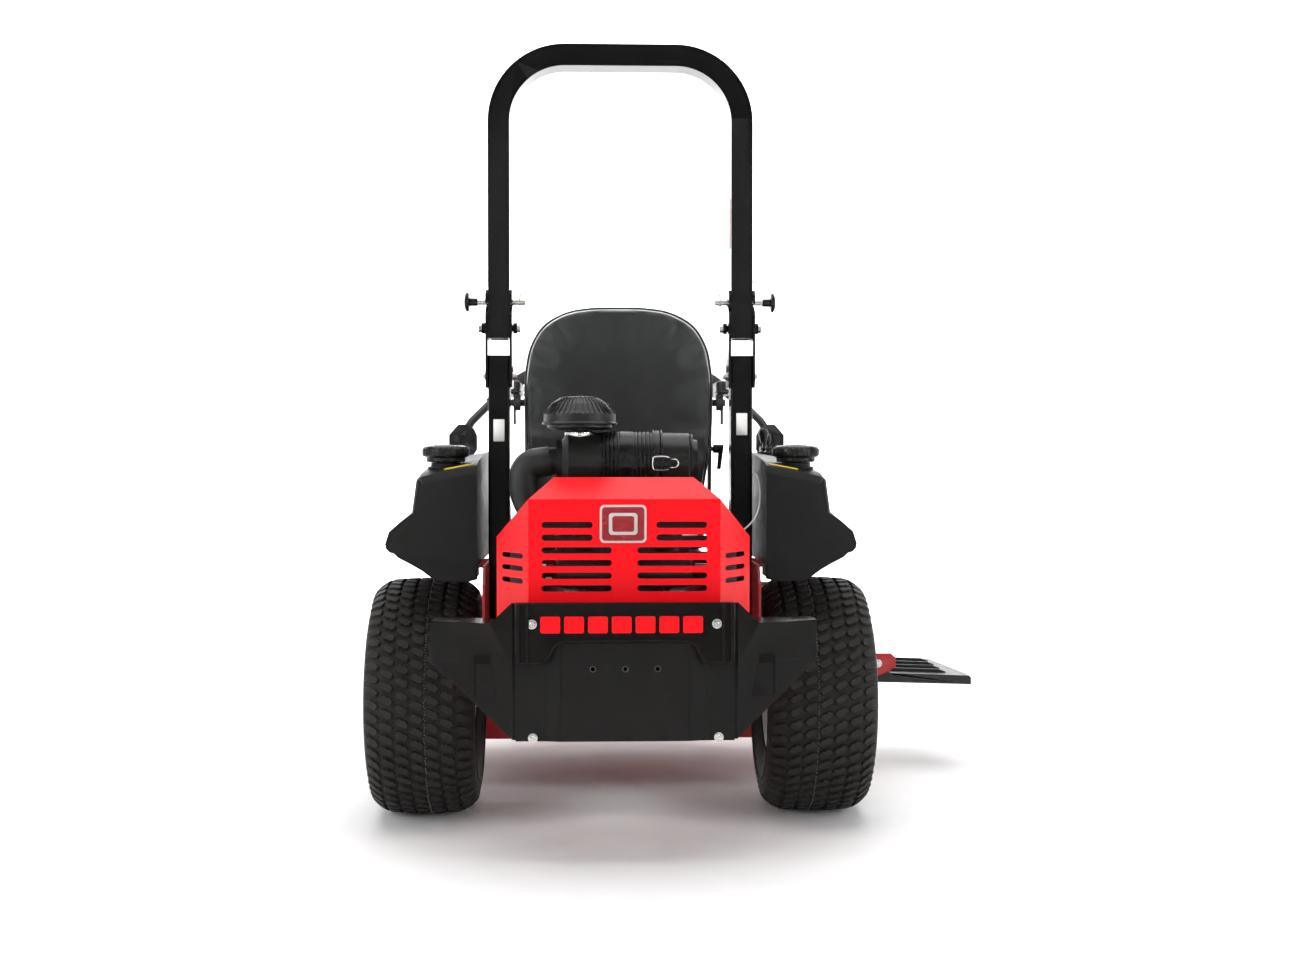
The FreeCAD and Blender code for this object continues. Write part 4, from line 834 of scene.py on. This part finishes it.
def backrest_arms():
    """Steel arms beside the backrest, with the armrest stubs and the recline boss."""
    bm = bmesh.new()
    for side in (-1, 1):
        y, z = 290, 690
        lathe(bm, [(8.3, 0), (18, 0), (18, 9), (8.3, 9), (8.3, 0)], at(side * 229, y, z), AX * side, 40)
        corners = [(y - 16, z + 10), (y + 12, z + 14), (y - 20, 1000), (y - 62, 1000)]
        prism(bm, [at(side * 229, a, b) for a, b in corners], AX * (side * 0.009))
        rings = lathe(bm, [(9, 0), (9, 46), (8, 47)], at(side * 225, 240, 985), AX * side, 32)
        bm.faces.new(rings[-1])
    rings = lathe(bm, [(6, 0), (6, 20)], at(236, 262, 868), AX, 24)
    bm.faces.new(rings[-1])
    arms = piece("backrest_arms", bm, SATIN_BLACK, "backrest")
    soften(arms, 0.8, 2, 50)


def cushion():
    """Stuffed seat cushion with piping and stitches."""
    bm = bmesh.new()
    rounded_slab(bm, at(0, 548.5, 603), 230, 212.5, AX, AY, AZ, 116, 58, 8)
    round_edges(bm, 0.024, 4)

    def loop(inset, z):
        x, y_low, y_high = 231 - inset, 335 + inset, 762 - inset
        corners = [at(-x, y_low, z), at(x, y_low, z), at(x, y_high, z), at(-x, y_high, z)]
        return rounded_path(corners, 0.13, 8, closed=True)
    top, low = loop(3, 697), loop(3, 618)
    panels = [[at(x, y, 719) for x in range(-150, 151, 10)] for y in (440, 540, 640)]
    for side in (-1, 1):
        panels.append([at(side * 152, y, 719) for y in range(370, 731, 10)])
    base_edge = loop(30, 603)
    seams = [top + top[:1], low + low[:1], base_edge + base_edge[:1]] + panels
    puffed("cushion_cover", bm, seams, 0.0045, VINYL, "seat", ["seat_cushion"], 0.004, 0.016)
    for label, z in (("top", 697), ("low", 618)):
        tube("cushion_piping_" + label, loop(0.5, z), 2.6, PIPING, "seat", closed=True)
    stitches("cushion_stitches", [r + r[:1] for r in (loop(0.5, 689), loop(0.5, 626))], "seat", AZ)


def armrest(side, name):
    """Stuffed armrest pad on its steel bracket."""
    bm = bmesh.new()
    rounded_slab(bm, at(side * 269, 350, 1004.5), 21.5, 134.5, AX, AY, AZ, 36, 18, 6)
    round_edges(bm, 0.009, 3)
    corners = [at(side * x, y, 1012) for x, y in ((247, 215), (291, 215), (291, 485), (247, 485))]
    seam = rounded_path(corners, 0.4, 6, closed=True)
    puffed("armrest_pad_" + name, bm, [seam + seam[:1]], 0.003, VINYL, "armrest_" + name,
           ["armrest_" + name], 0.0015, 0.004, 3.0, 0.004)
    tube("armrest_piping_" + name, seam, 1.6, PIPING, "armrest_" + name, closed=True)
    bm = bmesh.new()
    lathe(bm, [(9.3, 0), (20, 0), (20, 18), (9.3, 18), (9.3, 0)], at(side * 248, 240, 985), AX * side, 40)
    prism(bm, [at(side * 248, y, z) for y, z in ((222, 998), (300, 997), (292, 1006), (222, 1006))],
          AX * (side * 0.018))
    prism(bm, [at(side * 260, y, z) for y, z in ((230, 930), (262, 930), (262, 971), (230, 971))],
          AX * (side * 0.006))
    bracket = piece("armrest_bracket_" + name, bm, SATIN_BLACK, "armrest_" + name)
    soften(bracket, 1.0, 2, 50)


def grips():
    """Foam sleeves on the two steering levers, with rubber collars at their ends."""
    for side, name in SIDES:
        bends = ((338, 577, 1001.6), (250, 640, 1072), (170, 662, 1098), (70, 668, 1104))
        points = [at(side * x, y, z) for x, y, z in bends]
        path = rounded_path(points, 0.4, 8)
        tube("foam_grip_" + name, path, 16.8, FOAM, "lap_bar_" + name)
        bm = bmesh.new()
        for end, toward in ((points[0], points[1] - points[0]), (points[-1], points[-2] - points[-1])):
            axis = toward.normalized()
            collar = [(11.2, -1.5), (17.5, -1.2), (18.4, 1.5), (18.4, 6), (17.2, 8.5), (16.6, 8.5)]
            lathe(bm, collar, end, axis, 40)
        piece("grip_collars_" + name, bm, RUBBER, "lap_bar_" + name, smooth=30)


def seat():
    backrest()
    backrest_arms()
    cushion()
    for side, name in SIDES:
        armrest(side, name)
    grips()


# ---- bumper, guard, roll bar and cord details ----
POST_X = 287                         # middle of a roll bar post from the machine's centre plane


def panel_screw(bm, spot, axis, radius):
    """Button-head screw with a hexagon socket."""
    lathe(bm, [(radius + 3, 0), (radius + 3, 1.2), (radius, 1.6), (radius, 2.4), (radius * 0.8, 4.4),
               (radius * 0.5, 5.2), (radius * 0.48, 3.4), (0.05, 3.2)], spot, axis, 28)


BADGE = (("rim", 49, 40, 10, 0, 3.2, SILVER), ("field", 44.5, 35.5, 7, 2.4, 1.5, BADGE_RED),
         ("ring", 30, 23, 7, 3.6, 1.4, SILVER), ("centre", 23, 16.5, 5, 4.6, 1.2, BADGE_RED))


def badge():
    """Plain badge on the guard: nested rounded plates."""
    face = at(-3, -500, 709)
    for label, half_u, half_v, radius, lift, thick, mat in BADGE:
        bm = bmesh.new()
        rounded_slab(bm, face - AY * (lift / 1000), half_u, half_v, AX, AZ, -AY, thick, radius, 8)
        plate = piece("badge_" + label, bm, mat, "chassis")
        soften(plate, 0.8, 3, 40)


def guard_inside():
    """Slatted silencer shield seen through the guard's slots, dark plates behind its side slots as painted
    shade, and two small white plates behind the slot groups as painted light seen through the slots.
    """
    bm = bmesh.new()
    for i in range(5):
        rounded_slab(bm, at(0, -436, 566 + i * 34), 186, 13, AX, AZ, AY, 3, 5)
    for x in (-120, -40, 45, 128):
        rounded_slab(bm, at(x, -433, 640), 9, 88, AX, AZ, AY, 3, 4)
    # dark plates behind the guard's side slots: painted shade, standing in for the shadow inside the guard
    for side in (-1, 1):
        corners = [at(side * x, y, 556) for x, y in ((194, -470), (246, -385), (243, -383), (191, -468))]
        prism(bm, corners, AZ * 0.13)
    shield = piece("silencer_shield_and_shade_plates", bm, SATIN_BLACK, "chassis")
    soften(shield, 0.8, 2, 50)
    # two small white plates behind the left and right slot groups: painted light, the bright spots seen
    # through the slots
    bm = bmesh.new()
    rounded_slab(bm, at(139, -472, 688), 17, 5.5, AX, AZ, -AY, 1, 2)
    rounded_slab(bm, at(-160, -470, 590), 7, 5, AX, AZ, -AY, 1, 2)
    piece("see_through_light_plates", bm, LABEL_AND_PAINTED_LIGHT, "chassis", smooth=None)


def bumper_cover():
    """Formed cover with its upright ridges."""
    outline = [(-227, 420), (-227, 549), (-222, 550), (222, 550), (227, 549), (227, 420), (166, 420),
               (159, 424), (143, 458), (134, 466), (-134, 466), (-143, 458), (-159, 424), (-166, 420)]
    bm = bmesh.new()
    prism(bm, [at(x, -576, z) for x, z in outline], AY * 0.007)
    for x0 in (-227, -209, 197, 215):
        ridge = [at(x, y, 421) for x, y in ((x0, -575), (x0 + 12, -575), (x0 + 9, -580.5), (x0 + 3, -580.5))]
        prism(bm, ridge, AZ * 0.127)
    for x0 in (-235, 224):
        lip = ((x0, -556), (x0 + 11, -556), (x0 + 11, -552.5), (x0, -552.5))
        prism(bm, [at(x, y, 264) for x, y in lip], AZ * 0.284)
    for x0 in (-214, 174):
        pad = ((x0, -569), (x0 + 40, -569), (x0 + 40, -560.5), (x0, -560.5))
        prism(bm, [at(x, y, 424) for x, y in pad], AZ * 0.122)
    cover = piece("bumper_cover_shell", bm, BUMPER_BLACK, "chassis", ["bumper_cover"], 40)
    soften(cover, 2.4, 4, 30)


def bumper_wings():
    """The two folded wings, with a raised cap over each rail's end."""
    bm = bmesh.new()
    for side in (-1, 1):
        def face(x, z, back=0.0):
            return at(side * x, -563 + (x - 233) * 0.62 + max(0.0, 422 - z) * 0.1 + back, z)
        upper = [(233, 550), (281, 503), (413, 500), (413, 424), (233, 421)]
        lower = [(233, 421), (413, 424), (409, 412), (233, 262)]
        for part in (upper, lower):
            solid(bm, [face(x, z) for x, z in part], [face(x, z, 7) for x, z in part])
        ledge = [face(281, 503), face(413, 500), face(413, 500, 93), face(281, 503, 120)]
        prism(bm, ledge, AZ * -0.004)
        rounded_slab(bm, at(side * 283, -534, 395), 33, 43, AX, AZ, AY, 12, 5)
    bmesh.ops.remove_doubles(bm, verts=bm.verts, dist=0.00001)
    wings = piece("bumper_wing_shell", bm, BUMPER_BLACK, "chassis", ["bumper_wings"], 30)
    soften(wings, 1.2, 3, 35)


def bumper_bolts():
    """Screws through the cover and bolts along the plate's lower edge."""
    bm = bmesh.new()
    for x in (-192, 189):
        panel_screw(bm, at(x, -576, 506), -AY, 7)
    for x in (-191, 194):
        dome = [(10, 0), (10, 1.2), (6.5, 1.8), (6.5, 6), (4.5, 8), (0.05, 8.3)]
        lathe(bm, dome, at(x, -562, 269), -AY, 28)
    piece("bumper_bolts", bm, ZINC, "chassis", smooth=30)


def cover_bars():
    """Seven plain red bars in relief across the cover."""
    bm = bmesh.new()
    for i in range(7):
        rounded_slab(bm, at(49 * i - 154.5, -575.8, 504.5), 20.5, 17.5, AX, AZ, -AY, 3.2, 4, 6)
    bars = piece("cover_bars", bm, RED, "chassis")
    soften(bars, 1.2, 3, 40)


def bumper_folds():
    """Raised bead along the cover's arch, pressed ridges on the plate, and rims of the hitch holes."""
    arch = ((-219, 426), (-166, 426), (-139, 471), (139, 471), (166, 426), (219, 426))
    bead = rounded_path([at(x, -576.4, z) for x, z in arch], 0.3, 8)
    tube("cover_bead", bead, 2.6, BUMPER_BLACK, "chassis")
    for side, name in SIDES:
        line = rounded_path([at(side * x, -568.6, z) for x, z in ((134, 460), (136, 300), (136, 266))], 0.2)
        tube("plate_fold_" + name, line, 1.6, BUMPER_BLACK, "chassis")
    bm = bmesh.new()
    for x in (-67, 0, 67):
        rim = [(4.6, 0), (6.4, 0), (6.8, 0.9), (6.0, 1.3), (4.6, 0.8), (4.5, 0)]
        lathe(bm, rim, at(x, -568, 412), -AY, 28)
    piece("hitch_hole_rims", bm, SATIN_BLACK, "chassis", smooth=30)


def roll_bar_trim():
    """Bolts, pin knobs, sprung clips and blank labels of the roll bar."""
    for side, name in SIDES:
        bm = bmesh.new()
        cx = side * POST_X
        for reach in (-1, 1):
            hex_bolt(bm, at(cx + reach * 42, -20, 1154), AX * reach, 20, 8)
        for reach, height in ((-side, 8), (side, 6)):
            for y in (-44, 4):
                hex_bolt(bm, at(cx + reach * 32, y, 1040), AX * reach, 13, height, 9)
        piece("fold_bolts_" + name, bm, ZINC, "chassis", smooth=30)
        bm = bmesh.new()
        outer = at(cx + side * 52, -20, 1216)
        knob = [(9.4, 0), (9.6, 17), (14, 18.6), (20.5, 20), (22.2, 23), (22.2, 25.5), (20, 28.6), (13, 31.2),
                (0.05, 31.8)]
        lathe(bm, knob, outer, AX * side, 56)
        for u, v in spokes(16, upright=True):
            rounded_slab(bm, outer + AX * (side * 0.0215) + u * 0.0213, 1.6, 1.8, u, v, AX * side, 5, 0.8, 3)
        piece("pin_knob_" + name, bm, CAP_PLASTIC, "roll_bar")
        # sprung clip through the pin's inner end
        bends = ((-46, 1221), (-28, 1221), (-20, 1227), (-10, 1221), (18, 1220), (32, 1232), (24, 1244),
                 (10, 1238), (14, 1214), (-42, 1212))
        clip = [at(cx - side * 48, y, z) for y, z in bends]
        tube("pin_clip_" + name, rounded_path(clip, 0.4, 5), 1.5, ZINC, "roll_bar")
        bm = bmesh.new()
        rounded_slab(bm, at(cx, -57.9, 911 if side < 0 else 926), 13, 26, AX, AZ, -AY, 0.6, 1.5)
        piece("post_label_" + name, bm, LABEL_AND_PAINTED_LIGHT, "chassis", smooth=None)
    bm = bmesh.new()
    rounded_slab(bm, at(POST_X - 25.8, -20, 1404), 14, 60, AY, AZ, -AX, 0.5, 2)
    piece("hoop_strip", bm, RED, "roll_bar", smooth=None)


def chute_trim():
    """Bolts through the chute's hinge brackets."""
    bm = bmesh.new()
    for y, out in ((444, -AY), (858, AY)):
        hex_bolt(bm, at(700, y, 292), out, 16, 9, 11)
        hex_bolt(bm, at(630, y, 262), out, 13, 7, 10)
    piece("chute_bolts", bm, ZINC, "deck", smooth=30)


def lay_cord(name, points, diameter, mat, body, node):
    """A cord through machine points in place of its CAD node."""
    spots = [at(*p) for p in points]
    obj = tube(name, spots, diameter / 2, mat, body, nurbs=True)
    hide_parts(node)
    flat = new_object("flat", obj.data.copy())
    flat.data.bevel_depth = 0
    line = [v.co.copy() for v in evaluated(flat).to_mesh().vertices]
    bpy.data.objects.remove(flat)


def cords():
    """Pin lanyards and the throttle cable, laid through the same points as in the CAD model."""
    for side, name in SIDES:
        points = [(348, -20, 1206), (350, -27, 1184), (347, -44, 1160), (341, -64, 1170), (332, -62, 1214),
                  (323, -48, 1251),
                  (313.4, -40, 1268)]
        lay_cord("pin_lanyard_" + name, [(side * x, y, z) for x, y, z in points], 1.6, ZINC, "roll_bar",
                 "lanyard_" + name)
    points = [(320, 130, 806), (320, 75, 809), (319.6, 18, 811), (319.4, -38, 810), (319, -94, 806),
              (318.5, -148, 793), (317, -196, 768),
              (311, -232, 732), (293, -256, 700), (257, -272, 675), (208, -282, 664), (149.5, -289, 664)]
    lay_cord("throttle_cable_sleeve", points, 3.5, PALE_SLEEVE, "chassis", "throttle_cable")


# ---- room, camera and lights ----
def white_bowl():
    """White ground that curves up into a round wall."""
    mat = surface("studio_white", (0.86, 0.86, 0.86), 0.9, mottle=0.02, grain=0.05)
    bm = bmesh.new()
    bowl = [(1, 0), (1500, 0), (4000, 0), (7200, 0), (8300, 90), (9100, 500), (9500, 1300), (9600, 2600),
            (9600, 7500)]
    lathe(bm, bowl, at(0, 0, -0.5), AZ, 96)
    obj = link_mesh("backdrop", bm, mat)
    obj.data.shade_smooth()
    return obj


def soft_light(name, place, target, width, height, watts):
    """Rectangular lamp at place, aimed at target, sizes in metres."""
    data = bpy.data.lights.new(name, "AREA")
    data.shape = "RECTANGLE"
    data.size, data.size_y = width, height
    data.energy = watts
    obj = new_object(name, data)
    obj.location = place
    obj.rotation_euler = (target - place).to_track_quat("-Z", "Y").to_euler()
    return obj


def studio():
    """Lights, world and the camera that the photo was fitted with."""
    middle = at(0, 300, 700)
    staged = [
        white_bowl(),
        soft_light("overhead", at(0, 300, 4200), middle, 5.0, 4.0, 190),
        soft_light("left_box", at(-4200, -2600, 2600), middle, 1.6, 3.4, 95),
        soft_light("right_box", at(4200, -2400, 2400), middle, 1.6, 3.4, 80),
        soft_light("front_box", at(0, 3400, 3600), middle, 4.0, 2.0, 60),
        soft_light("strip_left", at(-2600, -3700, 1300), middle, 0.12, 2.2, 14),
        soft_light("strip_right", at(2600, -3700, 1300), middle, 0.12, 2.2, 14),
        soft_light("wall_wash", at(0, 5200, 5200), at(0, 9800, 1500), 9.0, 1.2, 1300),
    ]
    scene = bpy.context.scene
    world = bpy.data.worlds.new("studio")
    world.use_nodes = True
    world.node_tree.nodes["Background"].inputs["Color"].default_value = (0.11, 0.11, 0.11, 1)
    world.node_tree.nodes["Background"].inputs["Strength"].default_value = 1.0
    scene.world = world
    data = bpy.data.cameras.new("view")
    data.lens, data.sensor_width = 46.13, 36.0
    data.dof.use_dof = False
    camera = new_object("view", data)
    camera.location = at(-72.6, -4000, 860)
    camera.rotation_euler = (radians(88.78), 0, radians(-2.08))
    scene.camera = camera
    staged.append(camera)
    scene.view_settings.view_transform = "Standard"


finish_cad_nodes()
wheels()
for side, name in SIDES:
    fuel_tank(side, name)
    filler_neck(side, name)
    tank_seam(side, name)
    tank_skirt(side, name)
    strip_on_tank(side, name)
    fuel_cap(side, name)
lever_console()
precleaner_fins()
neck_band()
housing_ribs()
cover_ribs()
cover_clip("near", radians(-4))
cover_clip("far", radians(176))
seat()
badge()
guard_inside()
bumper_cover()
bumper_wings()
bumper_bolts()
cover_bars()
bumper_folds()
roll_bar_trim()
chute_trim()
cords()
studio()
